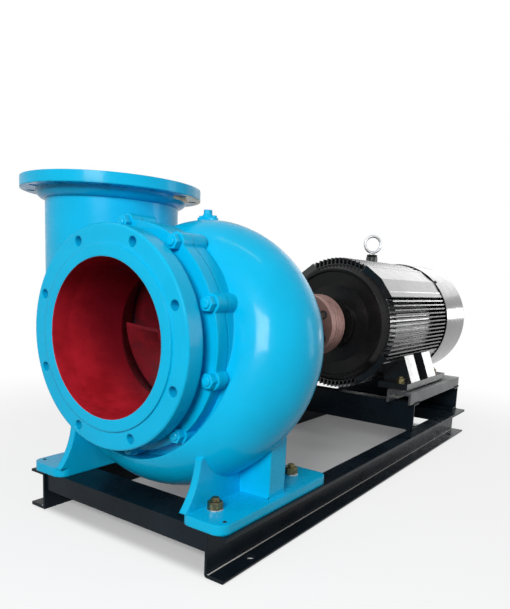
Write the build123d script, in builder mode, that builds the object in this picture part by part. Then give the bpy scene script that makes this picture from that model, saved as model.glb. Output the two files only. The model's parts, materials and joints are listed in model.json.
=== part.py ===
from build123d import *
from math import cos, radians, sin, sqrt
import os

# Horizontal mixed-flow volute pump, close-coupled through a pin coupling to an electric motor on one
# steel base. Millimetres. X runs along the shaft from the suction flange to the motor, Z is up, and Y is
# to the left of someone who looks into the suction. The origin is the middle of the base's underside.

# Steel base: two channels with their flanges turned out, and flat channels between them
base_length = 1650.0
base_width = 650.0
channel_height = 100.0
channel_flange = 48.0
channel_web = 6.0
channel_lip = 8.5
channel_root = 7.0
anchor_hole = 22.0
anchor_inset = 120.0

# Motor pedestal: two channels across the base, and two rails along them
pedestal_width = 576.0
pedestal_height = 100.0
pedestal_front = 293.0
pedestal_rear = 820.0
rail_height = 40.0
rail_width = 90.0
rail_wall = 8.0
rail_overhang = 44.0
shim = 6.0

# Motor
motor_centre_height = 225.0
motor_front = 1025.0
frame_front = 1055.0
frame_rear = 1615.0
cowl_rear = 1880.0
frame_bore = 185.0
frame_skin = 200.0
fin_tip = 236.0
fin_thickness = 5.0
fin_pitch_top = 16.0
fin_pitch_side = 15.5
corner_pad_angle = 18.0
motor_foot_reach = 262.0
motor_foot_inner = 150.0
motor_foot_thickness = 22.0
motor_foot_front = 1140.0
motor_foot_rear = 1560.0
motor_bolt_gauge = 225.0
motor_bolt_front = 1164.0
motor_bolt_rear = 1512.0
motor_bolt = 18.0
cowl_radius = 240.0
cowl_sheet = 2.5
shield_rim = 196.0
shaft_motor = 35.0
shaft_motor_end = 30.0
rotor_radius = 118.0
air_gap = 1.0
core_front = 1170.0
core_rear = 1470.0
eye_bolt_x = 1328.0

# Suction side
face_overhang = 40.0
suction_bore = 350.0
suction_flange = 490.0
suction_flange_thickness = 46.0
raised_face = 405.0
raised_face_height = 4.0
suction_pcd = 445.0
suction_holes = 8
suction_hole = 22.0
cover_neck = 198.0
cover_ring_radius = 258.0
cover_ring_front = 76.0
cover_ring_thickness = 32.0
cover_stud_circle = 252.0
cover_stud_count = 10
cover_stud_first = 33.0
cover_stud = 20.0
cover_boss = 21.0
cover_stud_depth = 28.0
spigot_radius = 214.0
spigot_rear = 272.0
liner_thickness = 10.0
eye_radius = 161.0
eye_front = 196.0
shroud_radius = 202.0
gasket = 2.0

# Volute
wall = 15.0
volute_ring_rear = 141.0
scroll_start_radius = 268.0
scroll_radius = 391.0
scroll_bottom = 364.0
scroll_start_tube = 100.0
throat_tube = 165.0
scroll_front_start = 140.0
scroll_front_end = 55.0
scroll_rise_angle = 90.0
chamber_rear = 322.0
rear_ring_radius = 230.0
rear_face = 350.0
rear_bore = 195.0
discharge_height = 362.0
discharge_flange = 445.0
discharge_flange_thickness = 26.0
discharge_pcd = 400.0
discharge_holes = 12
discharge_hole = 22.0
neck_flare = 22.0

# Volute feet
foot_front = 36.0
foot_rear = 470.0
foot_inner = 200.0
foot_outer = 318.0
foot_thickness = 22.0
foot_corner = 28.0
foot_web = 18.0
foot_rib = 62.0
foot_bolt_gauge = 244.0
foot_bolt_spacing = 303.0
foot_bolt = 20.0

# Pump rotor and bearings
hub_front = 206.0
impeller_rear = 312.0
impeller_radius = 190.0
blade_count = 4
blade_thickness = 9.0
blade_first = 275.0
blade_wrap = -95.0
blade_gap = 2.0
shaft_impeller = 27.5
nose_radius = 14.0
nose_length = 17.0
nut_length = 26.0
nut_radius = 34.0
shaft_sleeve_seat = 32.0
shaft_bearing = 35.0
shaft_coupling = 30.0
sleeve_radius = 40.0
stuffing_bore = 56.0
stuffing_wall = 14.0
rear_cover_thickness = 24.0
bracket_flange = 225.0
bracket_flange_thickness = 20.0
bracket_circle = 212.0
bracket_count = 8
bracket_stud = 16.0
bracket_stud_depth = 24.0
bearing_housing_radius = 98.0
bearing_bore = 75.0
bearing_front = 560.0
bearing_rear = 745.0
bearing_width = 35.0
bearing_cap = 18.0

# Coupling
coupling_radius = 104.0
coupling_front = 818.0
coupling_middle = 873.0
coupling_rear = 931.0
coupling_split = 4.0
pin_circle = 78.0
pin_count = 6
pin_radius = 9.0
bush_radius = 15.0

# Clearances
running = 0.06
seat = 0.15
slip = 0.3

shaft_z = channel_height + pedestal_height + rail_height + shim + motor_centre_height
suction_x = -base_length / 2 - face_overhang
half_base = base_length / 2
discharge_offset = scroll_radius - throat_tube
web_face = base_width / 2 - channel_flange
foot_level = channel_height

shaft_plane = Plane(origin=(suction_x, 0, shaft_z), x_dir=(1, 0, 0), z_dir=(0, -1, 0))
shaft_axis = Axis((0, 0, shaft_z), (1, 0, 0))

os.makedirs("parts", exist_ok=True)


def across(x):
    """Plane across the shaft, x behind the suction face: sketch x is Y, sketch y is height over the shaft."""
    return Plane(origin=(suction_x + x, 0, shaft_z), x_dir=(0, 1, 0), z_dir=(1, 0, 0))


def turn(points, mode=Mode.ADD):
    """Revolve an outline of (distance behind the suction face, radius) points about the shaft."""
    with BuildSketch(shaft_plane) as outline:
        with BuildLine():
            Polyline(*points, close=True)
        make_face()
    revolve(outline.sketch, axis=shaft_axis, mode=mode)


def ring(x0, x1, outer, inner, mode=Mode.ADD):
    """Turned ring or disc between two distances behind the suction face."""
    turn([(x0, inner), (x1, inner), (x1, outer), (x0, outer)], mode)


def around(circle, count, first, angle=360.0):
    """Places on a circle, first degrees clockwise from the top as seen from the suction."""
    return PolarLocations(circle, count, 90 + first, angle, rotate=True)


def rods(x0, x1, radius, circle, count, first, mode=Mode.ADD):
    """Round bars or holes along the shaft's direction, spread over a circle."""
    with BuildSketch(across(x0)) as bars:
        with around(circle, count, first):
            Circle(radius)
    extrude(bars.sketch, amount=x1 - x0, mode=mode)


def hexes(x0, x1, across_flats, circle, count, first):
    """Hexagon heads or nuts along the shaft's direction, spread over a circle."""
    with BuildSketch(across(x0)) as heads:
        with around(circle, count, first):
            RegularPolygon(across_flats / 2, 6, major_radius=False)
    extrude(heads.sketch, amount=x1 - x0)


def ease(t):
    """Smooth step from 0 to 1."""
    t = min(max(t, 0), 1)
    return t * t * (3 - 2 * t)


def scroll_tube(angle):
    """Radius of the scroll's round section, which grows evenly to the throat."""
    return scroll_start_tube + (throat_tube - scroll_start_tube) * max(angle, 0) / 270


def scroll_outside(angle):
    """Distance of the scroll's outer wall from the shaft, flatter below so that it clears the base."""
    rise = scroll_start_radius + (scroll_radius - scroll_start_radius) * ease(angle / scroll_rise_angle)
    return rise - (scroll_radius - scroll_bottom) * sin(radians(max(angle - 90, 0))) ** 2


def scroll_x(angle):
    """Distance of the section's middle behind the suction face."""
    front = scroll_front_start - (scroll_front_start - scroll_front_end) * ease((angle - 60) / 100)
    return front + scroll_tube(angle)


def scroll_loft(first, inset, steps, mode=Mode.ADD):
    """Loft of round sections about the shaft, from an angle clockwise of the top to the throat."""
    sections = []
    for step in range(steps + 1):
        angle = first + (270 - first) * step / steps
        middle = scroll_outside(angle) - scroll_tube(angle)
        turn_y, turn_z = -sin(radians(angle)), cos(radians(angle))
        place = Plane(
            origin=(suction_x + scroll_x(angle), middle * turn_y, shaft_z + middle * turn_z),
            x_dir=(1, 0, 0),
            z_dir=(0, -turn_z, turn_y),
        )
        with BuildSketch(place) as section:
            Circle(scroll_tube(angle) - inset)
        sections.append(section.sketch)
    loft(sections, mode=mode)


neck_x = suction_x + scroll_x(270)
priming_x = suction_x + 270
priming_y = -53.0
priming_seat = 275.0
priming_boss_length = 58.0
priming_boss_width = 34.0
drain_x = suction_x + 202
drain_y = 30.0
drain_seat = 365.0
drain_boss_radius = 19.0
boss_depth = 22.0
plug_thread = 9.0
plug_depth = 18.0
flange_under = shaft_z + discharge_height - discharge_flange_thickness
foot_middle = (foot_front + foot_rear) / 2


def volute_foot(side):
    """One foot: plate on the base, web along the shaft and rib across it. side is -1 for the near one."""
    gauge = (foot_inner + foot_outer) / 2
    with BuildSketch(Plane.XY.offset(foot_level)) as plate:
        with Locations((suction_x + foot_middle, side * gauge)):
            RectangleRounded(foot_rear - foot_front, foot_outer - foot_inner, foot_corner)
    extrude(plate.sketch, amount=foot_thickness)
    inner_face = side * foot_inner if side > 0 else -foot_inner - foot_web
    web_plane = Plane(origin=(suction_x, inner_face + foot_web, 0), x_dir=(1, 0, 0), z_dir=(0, -1, 0))
    top = foot_level + foot_thickness
    meet = shaft_z - 0.62 * scroll_radius
    with BuildSketch(web_plane) as web:
        with BuildLine():
            front = ThreePointArc((foot_front, top), (foot_front + 30, top + 45), (foot_front + 46, meet))
            Polyline(front @ 1, (scroll_front_start, meet + 40), (foot_rear - 130, meet + 40))
            ThreePointArc((foot_rear - 130, meet + 40), (foot_rear - 95, top + 50), (foot_rear, top))
            Line((foot_rear, top), (foot_front, top))
        make_face()
    extrude(web.sketch, amount=foot_web)
    rib_reach = foot_outer - 16
    with BuildSketch(Plane.XY.offset(top)) as rib:
        with Locations((suction_x + foot_middle, side * (foot_inner + rib_reach) / 2)):
            Rectangle(foot_rib, rib_reach - foot_inner)
    extrude(rib.sketch, amount=meet + 40 - top)


def turn_neck(radius, flare):
    """Discharge neck about its own upright axis, flared under the flange, with the flange on top."""
    neck_plane = Plane(origin=(neck_x, discharge_offset, 0), x_dir=(1, 0, 0), z_dir=(0, -1, 0))
    top = shaft_z + discharge_height
    with BuildSketch(neck_plane) as outline:
        with BuildLine():
            Polyline((0, shaft_z), (radius, shaft_z), (radius, flange_under - flare))
            RadiusArc((radius, flange_under - flare), (radius + flare, flange_under), -flare)
            Polyline((radius + flare, flange_under), (discharge_flange / 2, flange_under),
                     (discharge_flange / 2, top), (0, top), (0, shaft_z))
        make_face()
    revolve(outline.sketch, axis=Axis((neck_x, discharge_offset, 0), (0, 0, 1)))


body_front = cover_ring_front + cover_ring_thickness + gasket
front_clear = cover_stud_circle + cover_boss + 3
rear_clear = bracket_flange + 6

# Water space of the volute: it leaves a wall round the suction cover and round the rear cover
with BuildPart() as water_space:
    scroll_loft(4, wall, 5)
    with BuildSketch(Plane.XY.offset(shaft_z)) as neck_bore:
        with Locations((neck_x, discharge_offset)):
            Circle(throat_tube - wall)
    extrude(neck_bore.sketch, amount=discharge_height)
    ring(0, body_front + wall, front_clear + wall, 0, Mode.SUBTRACT)
    ring(chamber_rear - wall, 2 * rear_face, rear_clear + wall, 0, Mode.SUBTRACT)

# Volute casing: scroll, discharge neck and flange, front and rear rings, feet and plug bosses in one casting
with BuildPart() as volute_casing:
    scroll_loft(-40, 0, 7)
    turn_neck(throat_tube, neck_flare)
    volute_foot(-1)
    volute_foot(1)
    with BuildSketch(Plane.XY.offset(shaft_z + priming_seat)) as priming_boss:
        with Locations((priming_x, priming_y)):
            SlotOverall(priming_boss_length, priming_boss_width, rotation=90)
    extrude(priming_boss.sketch, amount=-boss_depth)
    with BuildSketch(Plane.XY.offset(shaft_z - drain_seat)) as drain_boss:
        with Locations((drain_x, drain_y)):
            Circle(drain_boss_radius)
    extrude(drain_boss.sketch, amount=boss_depth)
    ring(0, body_front, front_clear, 0, Mode.SUBTRACT)
    ring(rear_face, 2 * rear_face, rear_clear, 0, Mode.SUBTRACT)
    turn([
        (body_front, 0), (body_front, cover_ring_radius), (volute_ring_rear, cover_ring_radius),
        (volute_ring_rear + 12, rear_ring_radius + 2), (rear_face, rear_ring_radius), (rear_face, 0),
    ])
    add(water_space.part, mode=Mode.SUBTRACT)
    rods(body_front, body_front + cover_stud_depth + 12, cover_boss, cover_stud_circle, cover_stud_count,
         cover_stud_first)
    ring(body_front, chamber_rear, spigot_radius + seat, 0, Mode.SUBTRACT)
    ring(chamber_rear, rear_face, rear_bore, 0, Mode.SUBTRACT)
    with BuildSketch(Plane.XY.offset(shaft_z + discharge_height)) as flange_holes:
        with Locations((neck_x, discharge_offset)):
            with PolarLocations(discharge_pcd / 2, discharge_holes, 180 / discharge_holes):
                Circle(discharge_hole / 2)
    extrude(flange_holes.sketch, amount=-discharge_flange_thickness, mode=Mode.SUBTRACT)
    with BuildSketch(Plane.XY.offset(foot_level)) as foot_holes:
        with Locations((suction_x + foot_middle, 0)):
            with GridLocations(foot_bolt_spacing, 2 * foot_bolt_gauge, 2, 2):
                Circle(foot_bolt / 2 + 1)
    extrude(foot_holes.sketch, amount=foot_thickness, mode=Mode.SUBTRACT)
    with BuildSketch(Plane.XY.offset(shaft_z + priming_seat)) as priming_hole:
        with Locations((priming_x, priming_y)):
            Circle(plug_thread + seat)
    extrude(priming_hole.sketch, amount=-plug_depth - 2, mode=Mode.SUBTRACT)
    with BuildSketch(Plane.XY.offset(shaft_z - drain_seat)) as drain_hole:
        with Locations((drain_x, drain_y)):
            Circle(plug_thread + seat)
    extrude(drain_hole.sketch, amount=plug_depth + 2, mode=Mode.SUBTRACT)
    rods(body_front, body_front + cover_stud_depth, cover_stud / 2 + seat, cover_stud_circle,
         cover_stud_count, cover_stud_first, Mode.SUBTRACT)
    rods(rear_face - bracket_stud_depth, rear_face, bracket_stud / 2 + seat, bracket_circle,
         bracket_count, 0, Mode.SUBTRACT)
volute_casing.part.label = "volute_casing"
export_step(volute_casing.part, "parts/volute_casing.step")


# Suction cover: suction flange, neck, bolting ring with bosses and the spigot that holds the liner
ring_rear = cover_ring_front + cover_ring_thickness
with BuildPart() as suction_cover:
    turn([
        (0, suction_bore / 2), (0, raised_face / 2), (raised_face_height, raised_face / 2),
        (raised_face_height, suction_flange / 2 - 3), (raised_face_height + 3, suction_flange / 2),
        (suction_flange_thickness, suction_flange / 2), (suction_flange_thickness, cover_neck + 6),
        (suction_flange_thickness + 6, cover_neck), (cover_ring_front - 6, cover_neck),
        (cover_ring_front, cover_neck + 6), (cover_ring_front, cover_ring_radius),
        (ring_rear, cover_ring_radius), (ring_rear, spigot_radius), (spigot_rear, spigot_radius),
        (spigot_rear, shroud_radius + liner_thickness), (eye_front, eye_radius + liner_thickness),
        (eye_front, eye_radius), (suction_flange_thickness, suction_bore / 2),
    ])
    rods(cover_ring_front, ring_rear, cover_boss, cover_stud_circle, cover_stud_count, cover_stud_first)
    rods(cover_ring_front, ring_rear, cover_stud / 2 + slip, cover_stud_circle, cover_stud_count,
         cover_stud_first, Mode.SUBTRACT)
    rods(0, suction_flange_thickness, suction_hole / 2, suction_pcd / 2, suction_holes,
         180 / suction_holes, Mode.SUBTRACT)
suction_cover.part.label = "suction_cover"
export_step(suction_cover.part, "parts/suction_cover.step")

with BuildPart() as cover_gasket:
    ring(ring_rear, ring_rear + gasket, cover_ring_radius, spigot_radius + slip)
    rods(ring_rear, ring_rear + gasket, cover_boss, cover_stud_circle, cover_stud_count, cover_stud_first)
    rods(ring_rear, ring_rear + gasket, cover_stud / 2 + slip, cover_stud_circle, cover_stud_count,
         cover_stud_first, Mode.SUBTRACT)
cover_gasket.part.label = "cover_gasket"
export_step(cover_gasket.part, "parts/cover_gasket.step")

with BuildPart() as cover_studs:
    rods(cover_ring_front - 20, ring_rear + gasket + cover_stud_depth - 2, cover_stud / 2,
         cover_stud_circle, cover_stud_count, cover_stud_first)
cover_studs.part.label = "cover_studs"
export_step(cover_studs.part, "parts/cover_studs.step")

with BuildPart() as cover_nuts:
    hexes(cover_ring_front - 16, cover_ring_front, 30, cover_stud_circle, cover_stud_count, cover_stud_first)
    rods(cover_ring_front - 16, cover_ring_front, cover_stud / 2 + seat, cover_stud_circle,
         cover_stud_count, cover_stud_first, Mode.SUBTRACT)
cover_nuts.part.label = "cover_nuts"
export_step(cover_nuts.part, "parts/cover_nuts.step")

# Replaceable cone that the vane tips run against
with BuildPart() as wear_liner:
    turn([
        (eye_front + seat, eye_radius), (spigot_rear, shroud_radius),
        (spigot_rear, shroud_radius + liner_thickness - seat),
        (eye_front + seat, eye_radius + liner_thickness - seat),
    ])
wear_liner.part.label = "wear_liner"
export_step(wear_liner.part, "parts/wear_liner.step")

# Impeller: cone hub and twisted mixed-flow vanes, open towards the suction
hub_inlet = 36.0
hub_waist = (262.0, 92.0)
vane_hub_line = [(212, 40), (234, 56), (256, 80), (276, 112), (294, 158)]
vane_tip_line = [(205, 160), (222, 168), (240, 180), (257, 192), (272, 202)]
with BuildPart() as impeller:
    with BuildSketch(shaft_plane) as hub:
        with BuildLine():
            Line((hub_front, 0), (hub_front, hub_inlet))
            ThreePointArc((hub_front, hub_inlet), hub_waist, (impeller_rear - 12, impeller_radius))
            Polyline((impeller_rear - 12, impeller_radius), (impeller_rear, impeller_radius),
                     (impeller_rear, 0), (hub_front, 0))
        make_face()
    revolve(hub.sketch, axis=shaft_axis)
    for blade in range(blade_count):
        stations = []
        for step, ((hub_x, hub_r), (tip_x, tip_r)) in enumerate(zip(vane_hub_line, vane_tip_line)):
            share = step / (len(vane_hub_line) - 1)
            turned = radians(blade_first + 360 * blade / blade_count + blade_wrap * share)
            out = Vector(0, -sin(turned), cos(turned))
            root = Vector(suction_x + hub_x, 0, shaft_z) + out * (hub_r - 8)
            tip = Vector(suction_x + tip_x, 0, shaft_z) + out * (tip_r - blade_gap - 1.5)
            span = tip - root
            side = Vector(0, -cos(turned), -sin(turned))
            place = Plane(origin=(root + tip) * 0.5, x_dir=span.normalized(),
                          z_dir=span.cross(side).normalized())
            with BuildSketch(place) as section:
                Rectangle(span.length, blade_thickness)
            stations.append(section.sketch)
        loft(stations)
    ring(hub_front, impeller_rear, shaft_impeller + 0.05, 0, Mode.SUBTRACT)
impeller.part.label = "impeller"
export_step(impeller.part, "parts/impeller.step")

# Cap nut on the shaft's end, with two blind holes for a pin spanner
with BuildPart() as impeller_nut:
    with BuildSketch(shaft_plane) as dome:
        with BuildLine():
            Line((hub_front, 0), (hub_front - nut_length, 0))
            ThreePointArc((hub_front - nut_length, 0), (hub_front - 0.72 * nut_length, 0.7 * nut_radius),
                          (hub_front - 4, nut_radius))
            Polyline((hub_front - 4, nut_radius), (hub_front, nut_radius), (hub_front, 0))
        make_face()
    revolve(dome.sketch, axis=shaft_axis)
    rods(hub_front - nose_length - 1, hub_front, nose_radius + seat, 0, 1, 0, Mode.SUBTRACT)
    rods(hub_front - nut_length, hub_front - 8, 3, 24, 2, 90, Mode.SUBTRACT)
impeller_nut.part.label = "impeller_nut"
export_step(impeller_nut.part, "parts/impeller_nut.step")

# Pump shaft: threaded nose, impeller seat, sleeve seat, bearing seats and coupling seat
sleeve_rear = 470.0
with BuildPart() as pump_shaft:
    turn([
        (hub_front - nose_length, 0), (hub_front - nose_length, nose_radius), (hub_front + 0.5, nose_radius),
        (hub_front + 0.5, shaft_impeller),
        (impeller_rear + 0.2, shaft_impeller), (impeller_rear + 0.2, shaft_sleeve_seat),
        (sleeve_rear, shaft_sleeve_seat), (bearing_front, shaft_sleeve_seat + 1),
        (bearing_front, shaft_bearing), (bearing_front + bearing_width + 6, shaft_bearing),
        (bearing_front + bearing_width + 6, shaft_bearing + 6),
        (bearing_rear - bearing_width - 6, shaft_bearing + 6),
        (bearing_rear - bearing_width - 6, shaft_bearing), (bearing_rear, shaft_bearing),
        (bearing_rear, shaft_coupling), (coupling_middle - coupling_split, shaft_coupling),
        (coupling_middle - coupling_split, 0),
    ])
    with BuildSketch(Plane.XY.offset(shaft_z + shaft_coupling + 10)) as slot:
        with Locations((suction_x + coupling_front + 25, 0)):
            SlotOverall(48, 16)
    extrude(slot.sketch, amount=-16, mode=Mode.SUBTRACT)
pump_shaft.part.label = "pump_shaft"
export_step(pump_shaft.part, "parts/pump_shaft.step")

with BuildPart() as shaft_sleeve:
    ring(impeller_rear + 0.2, sleeve_rear, sleeve_radius, shaft_sleeve_seat + 0.05)
shaft_sleeve.part.label = "shaft_sleeve"
export_step(shaft_sleeve.part, "parts/shaft_sleeve.step")

# Rear cover: closes the casing behind the impeller and holds the stuffing box
cover_rear = rear_face + rear_cover_thickness
box_rear = 432.0
packing_front = 352.0
packing_ring = stuffing_bore - sleeve_radius
gland_stud = 12.0
gland_circle = stuffing_bore + stuffing_wall + gland_stud / 2 + 4
with BuildPart() as rear_cover:
    turn([
        (impeller_rear + 6, sleeve_radius + 1), (impeller_rear + 6, rear_bore - 12),
        (impeller_rear + 22, rear_bore - seat), (rear_face, rear_bore - seat), (rear_face, bracket_flange),
        (cover_rear, bracket_flange), (cover_rear, stuffing_bore + stuffing_wall + 26),
        (cover_rear + 26, stuffing_bore + stuffing_wall), (box_rear, stuffing_bore + stuffing_wall),
        (box_rear, stuffing_bore), (packing_front, stuffing_bore), (packing_front, sleeve_radius + 1),
    ])
    rods(cover_rear, cover_rear + 26, 13, gland_circle, 2, 90)
    rods(cover_rear - 10, cover_rear + 26, gland_stud / 2 + seat, gland_circle, 2, 90, Mode.SUBTRACT)
    rods(rear_face, cover_rear, bracket_stud / 2 + slip, bracket_circle, bracket_count, 0, Mode.SUBTRACT)
rear_cover.part.label = "rear_cover"
export_step(rear_cover.part, "parts/rear_cover.step")

with BuildPart() as packing_rings:
    for turn_number in range(4):
        start = packing_front + 0.2 + turn_number * packing_ring
        ring(start, start + packing_ring - 0.2, stuffing_bore - 0.2, sleeve_radius + running)
packing_rings.part.label = "packing_rings"
export_step(packing_rings.part, "parts/packing_rings.step")

gland_front = packing_front + 0.2 + 4 * packing_ring
gland_face = box_rear + 12
with BuildPart() as packing_gland:
    ring(gland_front, gland_face, stuffing_bore - slip, sleeve_radius + 1)
    with BuildSketch(across(gland_face)) as wings:
        SlotOverall(2 * gland_circle + 48, 2 * stuffing_bore + 12)
        Circle(sleeve_radius + 1, mode=Mode.SUBTRACT)
        with GridLocations(2 * gland_circle, 0, 2, 1):
            Circle(gland_stud / 2 + 1, mode=Mode.SUBTRACT)
    extrude(wings.sketch, amount=14)
packing_gland.part.label = "packing_gland"
export_step(packing_gland.part, "parts/packing_gland.step")

with BuildPart() as gland_bolts:
    rods(cover_rear - 9, gland_face + 36, gland_stud / 2, gland_circle, 2, 90)
    hexes(gland_face + 14, gland_face + 26, 19, gland_circle, 2, 90)
gland_bolts.part.label = "gland_bolts"
export_step(gland_bolts.part, "parts/gland_bolts.step")

# Bearing bracket: flange on the rear cover, open ribs round the gland, and the bearing housing
bracket_front = cover_rear
housing_front = bearing_front - 18
housing_rear = bearing_rear + 18
oil_plug_x = suction_x + (bearing_front + bearing_rear) / 2
oil_plug_seat = bearing_housing_radius + 6
with BuildPart() as bearing_bracket:
    ring(bracket_front, bracket_front + bracket_flange_thickness, bracket_flange, 150)
    ring(bracket_front, housing_front + 20, 168, 150)
    turn([
        (housing_front - 30, 150), (housing_front - 30, 168), (housing_front + 20, 112),
        (housing_front + 20, bearing_bore), (housing_front, bearing_bore), (housing_front, 108),
    ])
    ring(housing_front, housing_rear, bearing_housing_radius, bearing_bore)
    ring(housing_front, housing_front + 14, bearing_housing_radius + 8, bearing_bore)
    ring(housing_rear - 14, housing_rear, bearing_housing_radius + 8, bearing_bore)
    with BuildSketch(Plane.XZ.offset(-bracket_flange)) as opening:
        with Locations((suction_x + (bracket_front + housing_front) / 2, shaft_z)):
            RectangleRounded(housing_front - bracket_front - 70, 170, 30)
    extrude(opening.sketch, amount=2 * bracket_flange, mode=Mode.SUBTRACT)
    with BuildSketch(Plane.XY.offset(shaft_z - oil_plug_seat)) as plug_bosses:
        with Locations((oil_plug_x, 0)):
            Circle(17)
    extrude(plug_bosses.sketch, amount=2 * oil_plug_seat)
    rods(housing_front, housing_rear, bearing_bore, 0, 1, 0, Mode.SUBTRACT)
    rods(bracket_front, bracket_front + bracket_flange_thickness, bracket_stud / 2 + slip, bracket_circle,
         bracket_count, 0, Mode.SUBTRACT)
bearing_bracket.part.label = "bearing_bracket"
export_step(bearing_bracket.part, "parts/bearing_bracket.step")

with BuildPart() as bracket_bolts:
    bolt_face = bracket_front + bracket_flange_thickness
    rods(rear_face - bracket_stud_depth + 1, bolt_face + 10, bracket_stud / 2, bracket_circle,
         bracket_count, 0)
    hexes(bolt_face, bolt_face + 10, 24, bracket_circle, bracket_count, 0)
bracket_bolts.part.label = "bracket_bolts"
export_step(bracket_bolts.part, "parts/bracket_bolts.step")


def bearing_rings(x, bore, outside, width, inner):
    """One ring of a ball bearing that starts at x: the inner ring or the outer one."""
    middle = (bore + outside) / 2
    land = (outside - bore) * 0.17
    low, high = (bore, middle - land) if inner else (middle + land, outside)
    ring(x, x + width, high, low)


with BuildPart() as pump_bearing_inner_rings:
    for x in (bearing_front, bearing_rear - bearing_width):
        bearing_rings(x, shaft_bearing, bearing_bore - 0.1, bearing_width, True)
pump_bearing_inner_rings.part.label = "pump_bearing_inner_rings"
export_step(pump_bearing_inner_rings.part, "parts/pump_bearing_inner_rings.step")

with BuildPart() as pump_bearing_outer_rings:
    for x in (bearing_front, bearing_rear - bearing_width):
        bearing_rings(x, shaft_bearing, bearing_bore - 0.1, bearing_width, False)
pump_bearing_outer_rings.part.label = "pump_bearing_outer_rings"
export_step(pump_bearing_outer_rings.part, "parts/pump_bearing_outer_rings.step")

with BuildPart() as bearing_cover_inner:
    ring(housing_front - bearing_cap, housing_front, bearing_housing_radius + 6, shaft_sleeve_seat + 3)
    ring(housing_front, bearing_front - 0.3, bearing_bore - seat, shaft_bearing + 14)
bearing_cover_inner.part.label = "bearing_cover_inner"
export_step(bearing_cover_inner.part, "parts/bearing_cover_inner.step")

with BuildPart() as bearing_cover_outer:
    ring(housing_rear, housing_rear + bearing_cap, bearing_housing_radius + 6, shaft_coupling + 3)
    ring(bearing_rear + 0.3, housing_rear, bearing_bore - seat, shaft_bearing + 14)
bearing_cover_outer.part.label = "bearing_cover_outer"
export_step(bearing_cover_outer.part, "parts/bearing_cover_outer.step")

with BuildPart() as bearing_cover_bolts:
    hexes(housing_front - bearing_cap - 7, housing_front - bearing_cap, 17, 88, 6, 30)
    hexes(housing_rear + bearing_cap, housing_rear + bearing_cap + 7, 17, 88, 6, 30)
bearing_cover_bolts.part.label = "bearing_cover_bolts"
export_step(bearing_cover_bolts.part, "parts/bearing_cover_bolts.step")

with BuildPart() as oil_plugs:
    with BuildSketch(Plane.XY.offset(shaft_z + oil_plug_seat)) as filler:
        with Locations((oil_plug_x, 0)):
            RegularPolygon(13, 6)
    extrude(filler.sketch, amount=16)
    with BuildSketch(Plane.XY.offset(shaft_z - oil_plug_seat)) as drain:
        with Locations((oil_plug_x, 0)):
            RegularPolygon(11, 6)
    extrude(drain.sketch, amount=-12)
oil_plugs.part.label = "oil_plugs"
export_step(oil_plugs.part, "parts/oil_plugs.step")

# Pin coupling: pump half with rubber bushes, motor half with the pins
with BuildPart() as coupling_hub_pump:
    ring(coupling_front, coupling_middle - coupling_split, 62, shaft_coupling + 0.05)
    ring(coupling_middle - 34, coupling_middle - coupling_split, coupling_radius, 50)
    rods(coupling_middle - 34, coupling_middle - coupling_split, bush_radius + 0.05, pin_circle, pin_count, 0,
         Mode.SUBTRACT)
    with BuildSketch(Plane.XY.offset(shaft_z + shaft_coupling + 6)) as keyway:
        with Locations((suction_x + coupling_front, 0)):
            Rectangle(2 * coupling_middle, 16.2)
    extrude(keyway.sketch, amount=-12, mode=Mode.SUBTRACT)
coupling_hub_pump.part.label = "coupling_hub_pump"
export_step(coupling_hub_pump.part, "parts/coupling_hub_pump.step")

with BuildPart() as coupling_key_pump:
    with BuildSketch(Plane.XY.offset(shaft_z + shaft_coupling - 5.9)) as key:
        with Locations((suction_x + coupling_front + 25, 0)):
            SlotOverall(47.6, 15.8)
    extrude(key.sketch, amount=11.6)
coupling_key_pump.part.label = "coupling_key_pump"
export_step(coupling_key_pump.part, "parts/coupling_key_pump.step")

with BuildPart() as coupling_hub_motor:
    turn([
        (coupling_middle, shaft_motor_end + 0.05), (coupling_middle, coupling_radius),
        (coupling_middle + 12, coupling_radius), (coupling_middle + 12, coupling_radius - 2),
        (coupling_middle + 15, coupling_radius - 2), (coupling_middle + 15, coupling_radius),
        (coupling_rear - 16, coupling_radius), (coupling_rear - 16, coupling_radius - 2),
        (coupling_rear - 13, coupling_radius - 2), (coupling_rear - 13, coupling_radius),
        (coupling_rear - 3, coupling_radius), (coupling_rear, coupling_radius - 3),
        (coupling_rear, shaft_motor_end + 0.05),
    ])
    rods(coupling_middle, coupling_rear, pin_radius + 0.05, pin_circle, pin_count, 0, Mode.SUBTRACT)
    with BuildSketch(Plane.XY.offset(shaft_z + shaft_motor_end + 6)) as keyway:
        with Locations((suction_x + coupling_middle, 0)):
            Rectangle(200, 18.2)
    extrude(keyway.sketch, amount=-12, mode=Mode.SUBTRACT)
coupling_hub_motor.part.label = "coupling_hub_motor"
export_step(coupling_hub_motor.part, "parts/coupling_hub_motor.step")

with BuildPart() as coupling_key_motor:
    with BuildSketch(Plane.XY.offset(shaft_z + shaft_motor_end - 5.9)) as key:
        with Locations((suction_x + coupling_middle + 29, 0)):
            SlotOverall(51.6, 17.8)
    extrude(key.sketch, amount=11.6)
coupling_key_motor.part.label = "coupling_key_motor"
export_step(coupling_key_motor.part, "parts/coupling_key_motor.step")

with BuildPart() as coupling_pins:
    rods(coupling_middle - 33, coupling_rear + 2, pin_radius, pin_circle, pin_count, 0)
    hexes(coupling_rear, coupling_rear + 10, 24, pin_circle, pin_count, 0)
coupling_pins.part.label = "coupling_pins"
export_step(coupling_pins.part, "parts/coupling_pins.step")

with BuildPart() as coupling_bushes:
    rods(coupling_middle - 34, coupling_middle - coupling_split, bush_radius, pin_circle, pin_count, 0)
    rods(coupling_middle - 34, coupling_middle - coupling_split, pin_radius + 0.08, pin_circle, pin_count, 0,
         Mode.SUBTRACT)
coupling_bushes.part.label = "coupling_bushes"
export_step(coupling_bushes.part, "parts/coupling_bushes.step")

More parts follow.
